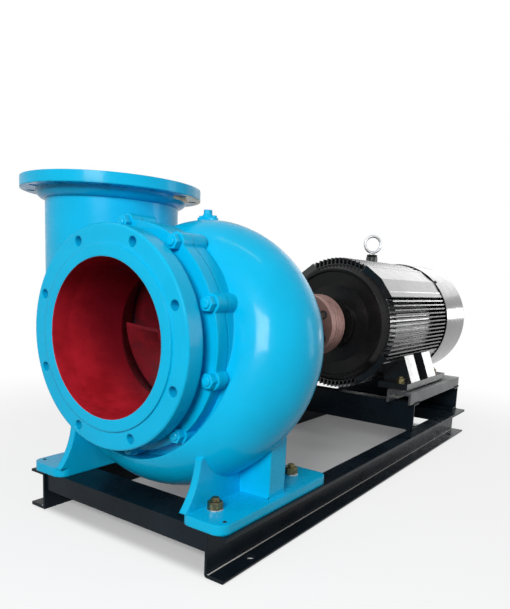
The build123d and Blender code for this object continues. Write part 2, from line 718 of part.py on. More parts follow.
# Plugs of the volute: priming plug on top and drain plug below
with BuildPart() as priming_plug:
    with BuildSketch(Plane.XY.offset(shaft_z + priming_seat - plug_depth)) as thread:
        with Locations((priming_x, priming_y)):
            Circle(plug_thread)
    extrude(thread.sketch, amount=plug_depth)
    with BuildSketch(Plane.XY.offset(shaft_z + priming_seat)) as cone_foot:
        with Locations((priming_x, priming_y)):
            Circle(16)
    extrude(cone_foot.sketch, amount=10, taper=35)
    with BuildSketch(Plane.XY.offset(shaft_z + priming_seat + 8)) as head:
        with Locations((priming_x, priming_y)):
            RegularPolygon(10, 6)
    extrude(head.sketch, amount=13)
priming_plug.part.label = "priming_plug"
export_step(priming_plug.part, "parts/priming_plug.step")

with BuildPart() as drain_plug:
    with BuildSketch(Plane.XY.offset(shaft_z - drain_seat)) as thread:
        with Locations((drain_x, drain_y)):
            Circle(plug_thread)
    extrude(thread.sketch, amount=plug_depth)
    with BuildSketch(Plane.XY.offset(shaft_z - drain_seat)) as collar:
        with Locations((drain_x, drain_y)):
            Circle(13)
    extrude(collar.sketch, amount=-5)
    with BuildSketch(Plane.XY.offset(shaft_z - drain_seat - 5)) as socket_head:
        with Locations((drain_x, drain_y)):
            RegularPolygon(9, 6)
    extrude(socket_head.sketch, amount=-7)
drain_plug.part.label = "drain_plug"
export_step(drain_plug.part, "parts/drain_plug.step")

# Bolts, nuts and washers that hold the volute's feet to the base
foot_top = foot_level + foot_thickness


def foot_stack(bottom, height, radius, sides=0):
    """Round or hexagonal piece at each of the volute's foot bolts, upwards from a level."""
    with BuildSketch(Plane.XY.offset(bottom)) as shape:
        with Locations((suction_x + foot_middle, 0)):
            with GridLocations(foot_bolt_spacing, 2 * foot_bolt_gauge, 2, 2):
                if sides:
                    RegularPolygon(radius, sides, major_radius=False)
                else:
                    Circle(radius)
    extrude(shape.sketch, amount=height)


with BuildPart() as pump_foot_washers:
    foot_stack(foot_top, 3, 18.5)
    with BuildSketch(Plane.XY.offset(foot_top)) as washer_hole:
        with Locations((suction_x + foot_middle, 0)):
            with GridLocations(foot_bolt_spacing, 2 * foot_bolt_gauge, 2, 2):
                Circle(foot_bolt / 2 + 0.5)
    extrude(washer_hole.sketch, amount=3, mode=Mode.SUBTRACT)
pump_foot_washers.part.label = "pump_foot_washers"
export_step(pump_foot_washers.part, "parts/pump_foot_washers.step")

with BuildPart() as pump_foot_nuts:
    foot_stack(foot_top + 3, 16, 15, 6)
    with BuildSketch(Plane.XY.offset(foot_top + 3)) as nut_hole:
        with Locations((suction_x + foot_middle, 0)):
            with GridLocations(foot_bolt_spacing, 2 * foot_bolt_gauge, 2, 2):
                Circle(foot_bolt / 2 + seat)
    extrude(nut_hole.sketch, amount=16, mode=Mode.SUBTRACT)
pump_foot_nuts.part.label = "pump_foot_nuts"
export_step(pump_foot_nuts.part, "parts/pump_foot_nuts.step")

with BuildPart() as pump_foot_bolts:
    foot_stack(foot_level - channel_web - 12.5, 12.5, 15, 6)
    foot_stack(foot_level - channel_web, foot_thickness + channel_web + 3 + 16 + 8, foot_bolt / 2)
pump_foot_bolts.part.label = "pump_foot_bolts"
export_step(pump_foot_bolts.part, "parts/pump_foot_bolts.step")

# Base: long channels with their flanges out
def long_channel(side):
    """One of the base's long channels. side is -1 for the near one."""
    reach = Align.MIN if side > 0 else Align.MAX
    with BuildSketch(Plane.YZ.offset(-half_base)) as profile:
        with Locations((side * (web_face - channel_web), channel_height / 2)):
            Rectangle(channel_flange + channel_web, channel_height, align=(reach, Align.CENTER))
        with Locations((side * web_face, channel_height / 2)):
            Rectangle(channel_flange, channel_height - 2 * channel_lip, align=(reach, Align.CENTER),
                      mode=Mode.SUBTRACT)
        at_web = sorted(profile.vertices(), key=lambda corner: abs(corner.Y - side * web_face))[:2]
        fillet(at_web, channel_root)
    extrude(profile.sketch, amount=base_length)
    with BuildSketch(Plane.XY) as anchors:
        with Locations((0, side * (web_face + channel_flange / 2))):
            with GridLocations(base_length - 2 * anchor_inset, 0, 2, 1):
                Circle(anchor_hole / 2)
    extrude(anchors.sketch, amount=channel_lip, mode=Mode.SUBTRACT)


with BuildPart() as base_beam_near:
    long_channel(-1)
base_beam_near.part.label = "base_beam_near"
export_step(base_beam_near.part, "parts/base_beam_near.step")

with BuildPart() as base_beam_far:
    long_channel(1)
base_beam_far.part.label = "base_beam_far"
export_step(base_beam_far.part, "parts/base_beam_far.step")

# Flat channels between the long ones: web up, flush with their tops
inner_face = web_face - channel_web
cross_positions = (
    -half_base + 6,
    suction_x + foot_middle + foot_bolt_spacing / 2 - channel_height / 2,
    half_base - 6 - channel_height,
)
with BuildPart() as cross_channels:
    for start in cross_positions:
        with BuildSketch(Plane.XZ.offset(-inner_face)) as profile:
            with Locations((start, channel_height)):
                Rectangle(channel_height, channel_flange, align=(Align.MIN, Align.MAX))
            with Locations((start + channel_lip, channel_height - channel_web)):
                Rectangle(channel_height - 2 * channel_lip, channel_flange, align=(Align.MIN, Align.MAX),
                          mode=Mode.SUBTRACT)
        extrude(profile.sketch, amount=2 * inner_face)
    with BuildSketch(Plane.XY.offset(channel_height)) as bolt_holes:
        with Locations((suction_x + foot_middle, 0)):
            with GridLocations(foot_bolt_spacing, 2 * foot_bolt_gauge, 2, 2):
                Circle(foot_bolt / 2 + 1)
    extrude(bolt_holes.sketch, amount=-channel_web, mode=Mode.SUBTRACT)
cross_channels.part.label = "cross_channels"
export_step(cross_channels.part, "parts/cross_channels.step")

# Pedestal: two upright channels across the base, backs to the ends, and the rails on them
pedestal_top = channel_height + pedestal_height
with BuildPart() as pedestal_channels:
    for back, way in ((pedestal_front, 1), (pedestal_rear, -1)):
        with BuildSketch(Plane.XZ.offset(-pedestal_width / 2)) as profile:
            with Locations((back, channel_height)):
                near = Align.MIN if way > 0 else Align.MAX
                Rectangle(channel_flange, pedestal_height, align=(near, Align.MIN))
            with Locations((back + way * channel_web, channel_height + channel_lip)):
                Rectangle(channel_flange, pedestal_height - 2 * channel_lip, align=(near, Align.MIN),
                          mode=Mode.SUBTRACT)
            corner = profile.vertices().filter_by_position(
                Axis.X, back + way * channel_web - 0.1, back + way * channel_web + 0.1
            )
            fillet(corner, channel_root)
        extrude(profile.sketch, amount=pedestal_width)
pedestal_channels.part.label = "pedestal_channels"
export_step(pedestal_channels.part, "parts/pedestal_channels.step")

motor_bolt_x = (suction_x + motor_bolt_front, suction_x + motor_bolt_rear)
rail_top = pedestal_top + rail_height
with BuildPart() as motor_rails:
    for rail_side in (-1, 1):
        with BuildSketch(Plane.XY.offset(pedestal_top)) as rail:
            with Locations(((pedestal_front - rail_overhang + pedestal_rear) / 2,
                            rail_side * (pedestal_width / 2 - rail_width / 2))):
                Rectangle(pedestal_rear - pedestal_front + rail_overhang, rail_width)
        extrude(rail.sketch, amount=rail_height)
        with BuildSketch(Plane.XY.offset(pedestal_top)) as hollow:
            with Locations(((pedestal_front - rail_overhang + pedestal_rear) / 2,
                            rail_side * (pedestal_width / 2 - rail_width / 2))):
                Rectangle(pedestal_rear - pedestal_front + rail_overhang, rail_width - 2 * rail_wall)
        extrude(hollow.sketch, amount=rail_height - rail_wall, mode=Mode.SUBTRACT)
    with BuildSketch(Plane.XY.offset(rail_top)) as rail_holes:
        for x in motor_bolt_x:
            with Locations((x, -motor_bolt_gauge), (x, motor_bolt_gauge)):
                Circle(motor_bolt / 2 + 1)
    extrude(rail_holes.sketch, amount=-rail_wall, mode=Mode.SUBTRACT)
motor_rails.part.label = "motor_rails"
export_step(motor_rails.part, "parts/motor_rails.step")

foot_under = rail_top + shim
with BuildPart() as motor_shims:
    with BuildSketch(Plane.XY.offset(rail_top)) as pads:
        for x in motor_bolt_x:
            with Locations((x, -motor_bolt_gauge), (x, motor_bolt_gauge)):
                Rectangle(96, 54)
                Circle(motor_bolt / 2 + 1, mode=Mode.SUBTRACT)
    extrude(pads.sketch, amount=shim)
motor_shims.part.label = "motor_shims"
export_step(motor_shims.part, "parts/motor_shims.step")

# Motor frame: round shell with upright fins above and below, level fins at the sides, smooth corner pads
side_reach = 8
top_reach = 7
gusset_starts = (1190, 1368)
gusset_length = 90.0
gusset_top = 108.0
eye_bolt_seat = 252.0
eye_bolt_thread = 11.0
eye_bolt_depth = 34.0
box_seat = fin_tip + 4
box_height = 60.0
box_plane = Plane(origin=(suction_x + 1300, box_seat, shaft_z + box_height), x_dir=(1, 0, 0), z_dir=(0, 1, 0))
with BuildPart() as motor_frame:
    with BuildSketch(across(frame_front)) as shell:
        Circle(frame_skin)
        for upright in range(-top_reach, top_reach + 1):
            y = upright * fin_pitch_top
            tip = sqrt(fin_tip ** 2 - y ** 2)
            with Locations((y, 0)):
                Rectangle(fin_thickness, 2 * tip)
        for level in range(-side_reach, side_reach + 1):
            z = level * fin_pitch_side
            tip = sqrt(fin_tip ** 2 - z ** 2)
            with Locations((0, z)):
                Rectangle(2 * tip, fin_thickness)
        for corner in (45, 135, 225, 315):
            a0, a1, a2 = (radians(corner + d) for d in (-corner_pad_angle, 0, corner_pad_angle))
            reach = cowl_radius - cowl_sheet - 0.1
            with BuildLine():
                Polyline((0, 0), (reach * cos(a0), reach * sin(a0)), (reach * cos(a1), reach * sin(a1)),
                         (reach * cos(a2), reach * sin(a2)), (0, 0))
            make_face()
        Circle(frame_bore, mode=Mode.SUBTRACT)
    extrude(shell.sketch, amount=frame_rear - frame_front)
    ring(frame_front, frame_front + 10, frame_skin + 14, frame_bore)
    for foot_side in (-1, 1):
        with BuildSketch(Plane.XY.offset(foot_under)) as foot:
            with Locations((suction_x + (motor_foot_front + motor_foot_rear) / 2,
                            foot_side * (motor_foot_reach + motor_foot_inner) / 2)):
                Rectangle(motor_foot_rear - motor_foot_front, motor_foot_reach - motor_foot_inner)
        extrude(foot.sketch, amount=motor_foot_thickness)
        for start in gusset_starts:
            with BuildSketch(across(start)) as gusset:
                with BuildLine():
                    Polyline(
                        (foot_side * motor_foot_inner, foot_under - shaft_z),
                        (foot_side * (motor_foot_reach - 4), foot_under - shaft_z),
                        (foot_side * (motor_foot_reach - 4), foot_under - shaft_z + motor_foot_thickness),
                        (foot_side * 222, -gusset_top), (foot_side * 150, -gusset_top),
                        close=True,
                    )
                make_face()
            extrude(gusset.sketch, amount=gusset_length)
    with BuildSketch(Plane.XY.offset(shaft_z + eye_bolt_seat)) as eye_boss:
        with Locations((suction_x + eye_bolt_x, 0)):
            Circle(23)
    extrude(eye_boss.sketch, amount=frame_skin - eye_bolt_seat - 8)
    with BuildSketch(box_plane) as box_pad:
        RectangleRounded(150, 110, 10)
    extrude(box_pad.sketch, amount=frame_skin - box_seat - 8)
    with BuildSketch(Plane.XY.offset(shaft_z + eye_bolt_seat)) as eye_hole:
        with Locations((suction_x + eye_bolt_x, 0)):
            Circle(eye_bolt_thread + seat)
    extrude(eye_hole.sketch, amount=-eye_bolt_depth - 2, mode=Mode.SUBTRACT)
    with BuildSketch(Plane.XY.offset(foot_under)) as foot_holes:
        for x in motor_bolt_x:
            with Locations((x, -motor_bolt_gauge), (x, motor_bolt_gauge)):
                Circle(motor_bolt / 2 + 1)
    extrude(foot_holes.sketch, amount=motor_foot_thickness, mode=Mode.SUBTRACT)
    ring(frame_front, frame_rear, frame_bore, 0, Mode.SUBTRACT)
motor_frame.part.label = "motor_frame"
export_step(motor_frame.part, "parts/motor_frame.step")

with BuildPart() as motor_foot_bolts:
    for x in motor_bolt_x:
        for y in (-motor_bolt_gauge, motor_bolt_gauge):
            with BuildSketch(Plane.XY.offset(rail_top - rail_wall)) as shank:
                with Locations((x, y)):
                    Circle(motor_bolt / 2)
            extrude(shank.sketch, amount=rail_wall + shim + motor_foot_thickness + 14)
            for level, height in ((rail_top - rail_wall - 11, 11), (foot_under + motor_foot_thickness, 14)):
                with BuildSketch(Plane.XY.offset(level)) as head:
                    with Locations((x, y)):
                        RegularPolygon(13.5, 6, major_radius=False)
                extrude(head.sketch, amount=height)
motor_foot_bolts.part.label = "motor_foot_bolts"
export_step(motor_foot_bolts.part, "parts/motor_foot_bolts.step")

# End shields: dished casting with a raised rim in front, plain disc behind
motor_bearing_bore = 70.0
shield_bearing = 27.0
with BuildPart() as end_shield_drive:
    turn([
        (motor_front, shield_rim), (frame_front, frame_skin + 12), (frame_front, frame_bore - seat),
        (frame_front + 14, frame_bore - seat), (frame_front + 14, frame_bore - 16),
        (motor_front + 26, 150), (motor_front + 44, motor_bearing_bore + 14),
        (motor_front + 52, motor_bearing_bore + 14), (motor_front + 52, motor_bearing_bore),
        (motor_front + 10, motor_bearing_bore), (motor_front + 10, motor_bearing_bore + 22),
        (motor_front + 14, 140), (motor_front + 8, shield_rim - 12), (motor_front, shield_rim - 8),
    ])
end_shield_drive.part.label = "end_shield_drive"
export_step(end_shield_drive.part, "parts/end_shield_drive.step")

with BuildPart() as end_shield_fan:
    turn([
        (frame_rear - 14, frame_bore - seat), (frame_rear, frame_bore - seat), (frame_rear, frame_skin + 12),
        (frame_rear + 16, frame_skin + 6), (frame_rear + 16, motor_bearing_bore + 16),
        (frame_rear + 34, motor_bearing_bore + 14), (frame_rear + 34, motor_bearing_bore),
        (frame_rear - 16, motor_bearing_bore), (frame_rear - 16, motor_bearing_bore + 14),
        (frame_rear - 4, motor_bearing_bore + 18), (frame_rear - 4, frame_bore - 16),
        (frame_rear - 14, frame_bore - 16),
    ])
end_shield_fan.part.label = "end_shield_fan"
export_step(end_shield_fan.part, "parts/end_shield_fan.step")

bearing_a = motor_front + 16
bearing_b = frame_rear - 10
with BuildPart() as motor_bearing_outer_rings:
    for x in (bearing_a, bearing_b):
        bearing_rings(x, shaft_motor, motor_bearing_bore - 0.1, shield_bearing, False)
motor_bearing_outer_rings.part.label = "motor_bearing_outer_rings"
export_step(motor_bearing_outer_rings.part, "parts/motor_bearing_outer_rings.step")

with BuildPart() as motor_bearing_inner_rings:
    for x in (bearing_a, bearing_b):
        bearing_rings(x, shaft_motor, motor_bearing_bore - 0.1, shield_bearing, True)
motor_bearing_inner_rings.part.label = "motor_bearing_inner_rings"
export_step(motor_bearing_inner_rings.part, "parts/motor_bearing_inner_rings.step")

with BuildPart() as motor_bearing_cap:
    ring(motor_front - 4, motor_front + 10, motor_bearing_bore + 20, shaft_motor + 1)
    ring(motor_front + 10, bearing_a - 0.3, motor_bearing_bore - seat, shaft_motor + 13)
    hexes(motor_front - 10, motor_front - 4, 16, motor_bearing_bore + 10, 4, 45)
motor_bearing_cap.part.label = "motor_bearing_cap"
export_step(motor_bearing_cap.part, "parts/motor_bearing_cap.step")

# Stator and rotor
with BuildPart() as stator_core:
    ring(core_front, core_rear, frame_bore - 0.1, rotor_radius + air_gap)
stator_core.part.label = "stator_core"
export_step(stator_core.part, "parts/stator_core.step")

with BuildPart() as stator_windings:
    for start, end in ((core_front - 60, core_front), (core_rear, core_rear + 60)):
        turn([
            (start, 136), (start + 8, 128), (end - 8, 128), (end, 136), (end, 160), (end - 8, 168),
            (start + 8, 168), (start, 160),
        ])
stator_windings.part.label = "stator_windings"
export_step(stator_windings.part, "parts/stator_windings.step")

with BuildPart() as rotor_core:
    ring(core_front, core_rear, rotor_radius, shaft_motor + 5.05)
    for start in (core_front - 20, core_rear):
        ring(start, start + 20, rotor_radius - 2, 84)
rotor_core.part.label = "rotor_core"
export_step(rotor_core.part, "parts/rotor_core.step")

fan_hub = frame_rear + 74
with BuildPart() as motor_shaft:
    turn([
        (coupling_middle + 1, 0), (coupling_middle + 1, shaft_motor_end), (motor_front - 14, shaft_motor_end),
        (motor_front - 14, shaft_motor - 1), (bearing_a, shaft_motor - 1), (bearing_a, shaft_motor),
        (bearing_a + shield_bearing, shaft_motor), (bearing_a + shield_bearing, shaft_motor + 5),
        (core_rear, shaft_motor + 5), (core_rear, shaft_motor + 3), (bearing_b, shaft_motor + 3),
        (bearing_b, shaft_motor), (bearing_b + shield_bearing, shaft_motor),
        (bearing_b + shield_bearing, shaft_motor - 7), (fan_hub + 46, shaft_motor - 7), (fan_hub + 46, 0),
    ])
    with BuildSketch(Plane.XY.offset(shaft_z + shaft_motor_end + 10)) as slot:
        with Locations((suction_x + coupling_middle + 29, 0)):
            SlotOverall(52, 18)
    extrude(slot.sketch, amount=-16, mode=Mode.SUBTRACT)
motor_shaft.part.label = "motor_shaft"
export_step(motor_shaft.part, "parts/motor_shaft.step")

with BuildPart() as cooling_fan:
    ring(fan_hub, fan_hub + 45, shaft_motor + 14, shaft_motor - 6.95)
    ring(fan_hub + 10, fan_hub + 15, 150, shaft_motor + 10)
    with BuildSketch(across(fan_hub + 12)) as vanes:
        with PolarLocations(0, 7, 0):
            with Locations((122, 0)):
                Rectangle(136, 5)
    extrude(vanes.sketch, amount=60)
cooling_fan.part.label = "cooling_fan"
export_step(cooling_fan.part, "parts/cooling_fan.step")

# Fan cowl: sheet drum with a rounded rear edge and a grille of round slots
cowl_front = frame_rear - 14
with BuildPart() as fan_cowl:
    with BuildSketch(shaft_plane) as sheet:
        with BuildLine():
            Line((cowl_front, cowl_radius), (cowl_rear - 40, cowl_radius))
            RadiusArc((cowl_rear - 40, cowl_radius), (cowl_rear, cowl_radius - 40), 40)
            Polyline((cowl_rear, cowl_radius - 40), (cowl_rear, 0), (cowl_rear - cowl_sheet, 0),
                     (cowl_rear - cowl_sheet, cowl_radius - 40))
            RadiusArc((cowl_rear - cowl_sheet, cowl_radius - 40), (cowl_rear - 40, cowl_radius - cowl_sheet),
                      -(40 - cowl_sheet))
            Polyline((cowl_rear - 40, cowl_radius - cowl_sheet), (cowl_front, cowl_radius - cowl_sheet),
                     (cowl_front, cowl_radius))
        make_face()
    revolve(sheet.sketch, axis=shaft_axis)
    with BuildSketch(across(cowl_rear - 10)) as grille:
        for grille_radius in (52, 76, 100, 124, 148, 172):
            with PolarLocations(0, 6, 30):
                SlotArc(CenterArc((0, 0), grille_radius, 8, 44), 12)
    extrude(grille.sketch, amount=20, mode=Mode.SUBTRACT)
fan_cowl.part.label = "fan_cowl"
export_step(fan_cowl.part, "parts/fan_cowl.step")

with BuildPart() as cowl_screws:
    for angle in (45, 135, 225, 315):
        y, z = cowl_radius * sin(radians(angle)), cowl_radius * cos(radians(angle))
        place = Plane(origin=(suction_x + cowl_front + 12, y, shaft_z + z), x_dir=(1, 0, 0),
                      z_dir=(0, sin(radians(angle)), cos(radians(angle))))
        with BuildSketch(place) as head:
            Circle(7)
        extrude(head.sketch, amount=4)
cowl_screws.part.label = "cowl_screws"
export_step(cowl_screws.part, "parts/cowl_screws.step")

# Lifting eye on top of the frame
eye_x = suction_x + eye_bolt_x
eye_seat = shaft_z + eye_bolt_seat
with BuildPart() as eye_bolt:
    with BuildSketch(Plane.XY.offset(eye_seat - eye_bolt_depth)) as thread:
        with Locations((eye_x, 0)):
            Circle(eye_bolt_thread)
    extrude(thread.sketch, amount=eye_bolt_depth + 18)
    with BuildSketch(Plane.XY.offset(eye_seat)) as collar:
        with Locations((eye_x, 0)):
            Circle(20)
    extrude(collar.sketch, amount=10)
    with Locations(Location((eye_x, 0, eye_seat + 51), (90, 0, 0))):
        Torus(29, 8)
eye_bolt.part.label = "eye_bolt"
export_step(eye_bolt.part, "parts/eye_bolt.step")

# Terminal box on the far side
with BuildPart() as terminal_box:
    with BuildSketch(box_plane) as box:
        RectangleRounded(200, 150, 14)
    extrude(box.sketch, amount=86)
    with BuildSketch(box_plane.offset(8)) as room:
        RectangleRounded(184, 134, 8)
    extrude(room.sketch, amount=86, mode=Mode.SUBTRACT)
terminal_box.part.label = "terminal_box"
export_step(terminal_box.part, "parts/terminal_box.step")

with BuildPart() as terminal_box_lid:
    with BuildSketch(box_plane.offset(86)) as lid:
        RectangleRounded(204, 154, 16)
    extrude(lid.sketch, amount=10)
terminal_box_lid.part.label = "terminal_box_lid"
export_step(terminal_box_lid.part, "parts/terminal_box_lid.step")

with BuildPart() as lid_screws:
    with BuildSketch(box_plane.offset(96)) as heads:
        with GridLocations(176, 126, 2, 2):
            RegularPolygon(8, 6)
    extrude(heads.sketch, amount=5)
lid_screws.part.label = "lid_screws"
export_step(lid_screws.part, "parts/lid_screws.step")

with BuildPart() as terminal_block:
    with BuildSketch(box_plane.offset(8)) as block:
        Rectangle(110, 60)
    extrude(block.sketch, amount=24)
    with BuildSketch(box_plane.offset(32)) as studs:
        with GridLocations(36, 28, 3, 2):
            Circle(4)
    extrude(studs.sketch, amount=18)
terminal_block.part.label = "terminal_block"
export_step(terminal_block.part, "parts/terminal_block.step")

with BuildPart() as entry_plug:
    plug_plane = Plane(origin=(suction_x + 1300, box_seat + 44, shaft_z + box_height - 75), x_dir=(1, 0, 0),
                       z_dir=(0, 0, -1))
    with BuildSketch(plug_plane) as plug:
        RegularPolygon(24, 6)
    extrude(plug.sketch, amount=12)
entry_plug.part.label = "entry_plug"
export_step(entry_plug.part, "parts/entry_plug.step")
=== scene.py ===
# %% [markdown]
# # A volute pump and its motor, dressed for a studio photograph
# The packed CAD model is the fixed frame of this scene. Its solids keep their place and their shape. What is
# added here is what a draughtsman leaves out: paint, casting skin, brushed steel, threads, weld beads and
# light. Every length is in metres, X runs along the shaft from the suction flange to the motor, Z is up and
# the floor is at zero.

# %% Load the frame
import json
import math
import bmesh
import bpy
from mathutils import Matrix, Vector


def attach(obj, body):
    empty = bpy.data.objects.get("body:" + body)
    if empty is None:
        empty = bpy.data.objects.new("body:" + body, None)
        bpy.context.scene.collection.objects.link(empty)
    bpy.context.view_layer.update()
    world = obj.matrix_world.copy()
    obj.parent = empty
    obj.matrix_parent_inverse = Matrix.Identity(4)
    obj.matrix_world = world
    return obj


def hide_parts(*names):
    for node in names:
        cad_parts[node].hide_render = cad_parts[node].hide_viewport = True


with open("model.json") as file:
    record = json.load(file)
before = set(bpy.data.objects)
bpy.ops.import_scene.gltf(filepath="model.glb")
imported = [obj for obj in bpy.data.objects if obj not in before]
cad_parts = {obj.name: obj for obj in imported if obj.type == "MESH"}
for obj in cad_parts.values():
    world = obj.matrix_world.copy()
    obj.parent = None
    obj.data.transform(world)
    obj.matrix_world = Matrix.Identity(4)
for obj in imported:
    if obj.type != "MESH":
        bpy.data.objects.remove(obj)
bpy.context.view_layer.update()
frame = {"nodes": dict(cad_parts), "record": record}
nodes = frame["nodes"]

# %% [markdown]
# ## Camera
# The photograph was taken from in front of the suction flange, a little to its right and a little above the
# shaft. Focal length, place, turn and tilt were solved outside this script from the flange's ellipse, the
# base's edges and the motor's outline. A camera looks along its own -Z with +Y up, so the three columns of
# its matrix are right, up and backwards. The picture was cropped off centre, which the lens shift repeats.

# %% Camera
PICTURE_WIDE, PICTURE_HIGH = 510, 609
SENSOR = 36
FOCAL_PIXELS = 574.26
MIDDLE_PIXEL = (276.38, 370.57)
CAMERA_PLACE = Vector((-1.6775, -0.9892, 0.6136))
yaw, pitch, roll = math.radians(33.51), math.radians(8.9), math.radians(-2.91)

ahead = Vector((math.cos(yaw) * math.cos(pitch), math.sin(yaw) * math.cos(pitch), -math.sin(pitch)))
level = Vector((math.sin(yaw), -math.cos(yaw), 0))
below = ahead.cross(level)
right = math.cos(roll) * level + math.sin(roll) * below
down = -math.sin(roll) * level + math.cos(roll) * below

camera = bpy.data.objects.new("camera", bpy.data.cameras.new("camera"))
bpy.context.scene.collection.objects.link(camera)
turn = Matrix((right, -down, -ahead)).transposed().to_4x4()
camera.matrix_world = Matrix.Translation(CAMERA_PLACE) @ turn
camera.data.sensor_width = SENSOR
camera.data.lens = FOCAL_PIXELS * SENSOR / PICTURE_HIGH
camera.data.shift_x = (PICTURE_WIDE / 2 - MIDDLE_PIXEL[0]) / PICTURE_HIGH
camera.data.shift_y = (MIDDLE_PIXEL[1] - PICTURE_HIGH / 2) / PICTURE_HIGH
bpy.context.scene.camera = camera
bpy.context.scene.view_settings.view_transform = "Standard"
print("camera: lens", round(camera.data.lens, 2), "mm, shift", round(camera.data.shift_x, 4),
      round(camera.data.shift_y, 4))

# %% [markdown]
# ## Shader maths in plain Python
# A material is a graph of nodes. Written out link by link it is hard to read, so one small class wraps an
# output socket: adding, multiplying or comparing two of them adds the Math node that does it. Every other
# node comes from one method, which takes the node's type, its settings and what goes into its sockets.

# %% The wire
# The Mix node has several sockets of one name, so its colour sockets are known by their numbers
MIX_SHARE, MIX_FIRST, MIX_SECOND, MIX_COLOUR = 0, 6, 7, 2


class Wire:
    """An output socket of a shader node that can be used in sums."""

    def __init__(self, tree, socket=None):
        self.tree, self.socket = tree, socket

    def node(self, kind, settings=None, sockets=None, output=0):
        """Adds a node: settings first, then values or wires for its sockets."""
        made = self.tree.nodes.new(kind)
        for name, value in (settings or {}).items():
            setattr(made, name, value)
        for name, value in (sockets or {}).items():
            if isinstance(value, Wire):
                self.tree.links.new(value.socket, made.inputs[name])
            else:
                made.inputs[name].default_value = value
        return Wire(self.tree, made.outputs[output])

    def maths(self, operation, *values):
        """A Math node on the given values or wires."""
        return self.node("ShaderNodeMath", {"operation": operation}, dict(enumerate(values)))

    def __add__(self, other):
        return self.maths("ADD", self, other)

    def __radd__(self, other):
        return self.maths("ADD", other, self)

    def __sub__(self, other):
        return self.maths("SUBTRACT", self, other)

    def __mul__(self, other):
        return self.maths("MULTIPLY", self, other)

    def __rmul__(self, other):
        return self.maths("MULTIPLY", other, self)

    def __pow__(self, other):
        return self.maths("POWER", self, other)

    def __lt__(self, other):
        return self.maths("LESS_THAN", self, other)

    def __gt__(self, other):
        return self.maths("GREATER_THAN", self, other)

    def __abs__(self):
        return self.maths("ABSOLUTE", self)

    def axes(self):
        """The three numbers of a vector."""
        parts = self.node("ShaderNodeSeparateXYZ", sockets={"Vector": self}).socket.node
        return [Wire(self.tree, out) for out in parts.outputs]

    def noise(self, scale, detail=3, roughness=0.5):
        """Cloudy pattern from 0 to 1; scale is about how many blobs lie in a metre."""
        sockets = {"Vector": self, "Scale": scale, "Detail": detail, "Roughness": roughness}
        return self.node("ShaderNodeTexNoise", sockets=sockets)

    def smooth(self, low, high, to_low=0.0, to_high=1.0):
        """Smooth step of this number between two values."""
        sockets = {"Value": self, "From Min": low, "From Max": high, "To Min": to_low, "To Max": to_high}
        return self.node("ShaderNodeMapRange", {"interpolation_type": "SMOOTHSTEP"}, sockets)

    def blend(self, first, second):
        """Colour that goes from first to second as this number goes from 0 to 1."""
        first = first if isinstance(first, Wire) else (*first, 1)
        second = second if isinstance(second, Wire) else (*second, 1)
        sockets = {MIX_SHARE: self, MIX_FIRST: first, MIX_SECOND: second}
        return self.node("ShaderNodeMix", {"data_type": "RGBA"}, sockets, MIX_COLOUR)


print("methods of a wire:", [name for name in vars(Wire) if not name.startswith("_")])

# %% [markdown]
# ## A finish to start from
# Every finish starts the same way: a new material with its Principled shader, and a wire that carries the
# object's own coordinates, so that a pattern stays on the piece wherever the piece goes. One more helper sets
# the shader's sockets by name, with a number, a colour or a wire.

# %% Finish helpers
def start_finish(name):
    """A new material, its Principled shader, and a wire with the object's own coordinates."""
    material = bpy.data.materials.new(name)
    material.use_nodes = True
    tree = material.node_tree
    place = Wire(tree).node("ShaderNodeTexCoord", output="Object")
    return material, tree.nodes["Principled BSDF"], place


def plug(shader, **sockets):
    """Sets or links sockets of a shader; an underscore in a name stands for a space."""
    for name, value in sockets.items():
        socket = shader.inputs[name.replace("_", " ")]
        if isinstance(value, Wire):
            value.tree.links.new(value.socket, socket)
        else:
            socket.default_value = value


print("finish helpers:", start_finish.__name__, plug.__name__)

# %% [markdown]
# ## Floor and surroundings
# The studio is a white sweep. To the camera and to mirrors the floor glows white, with a quarter of white
# paint in it near the object, which takes the soft shadow. Further out the glow takes over altogether, and
# under the base it gives way, so that the shadow is deep there. To light that bounces back up, the floor is
# grey and throws little on the undersides. The world does the same: white to the camera and to mirrors,
# dimmer as a lamp. So the background is white without any extra light on the object.

# %% Rays that may see the white
def seen_white(wire):
    """1 for camera, mirror and glass rays, 0 for light that lands on the object."""
    rays = wire.node("ShaderNodeLightPath").socket.node.outputs
    camera_ray, mirror_ray, glass_ray = (Wire(wire.tree, rays[name]) for name in
                                         ("Is Camera Ray", "Is Glossy Ray", "Is Transmission Ray"))
    return camera_ray.maths("MAXIMUM", camera_ray.maths("MAXIMUM", camera_ray, mirror_ray), glass_ray)


print("white for camera, mirrors and glass only")

# %% World
LAMP_LEVEL = 0.18
WHITE = (1, 1, 1, 1)
world = bpy.data.worlds.new("studio_white")
bpy.context.scene.world = world
world.use_nodes = True
sky = Wire(world.node_tree)
brightness = LAMP_LEVEL + (1 - LAMP_LEVEL) * seen_white(sky)
background = world.node_tree.nodes["Background"]
background.inputs["Color"].default_value = WHITE
world.node_tree.links.new(brightness.socket, background.inputs["Strength"])
print("world: strength 1 where it is seen,", LAMP_LEVEL, "as a lamp")

# %% Floor sheet
FLOOR_RADIUS, FLOOR_SEGMENTS = 40, 96
sheet = bmesh.new()
bmesh.ops.create_circle(sheet, cap_ends=True, segments=FLOOR_SEGMENTS, radius=FLOOR_RADIUS)
floor_mesh = bpy.data.meshes.new("floor")
sheet.to_mesh(floor_mesh)
sheet.free()
floor = bpy.data.objects.new("floor", floor_mesh)
bpy.context.scene.collection.objects.link(floor)
print("floor:", 2 * FLOOR_RADIUS, "m across")

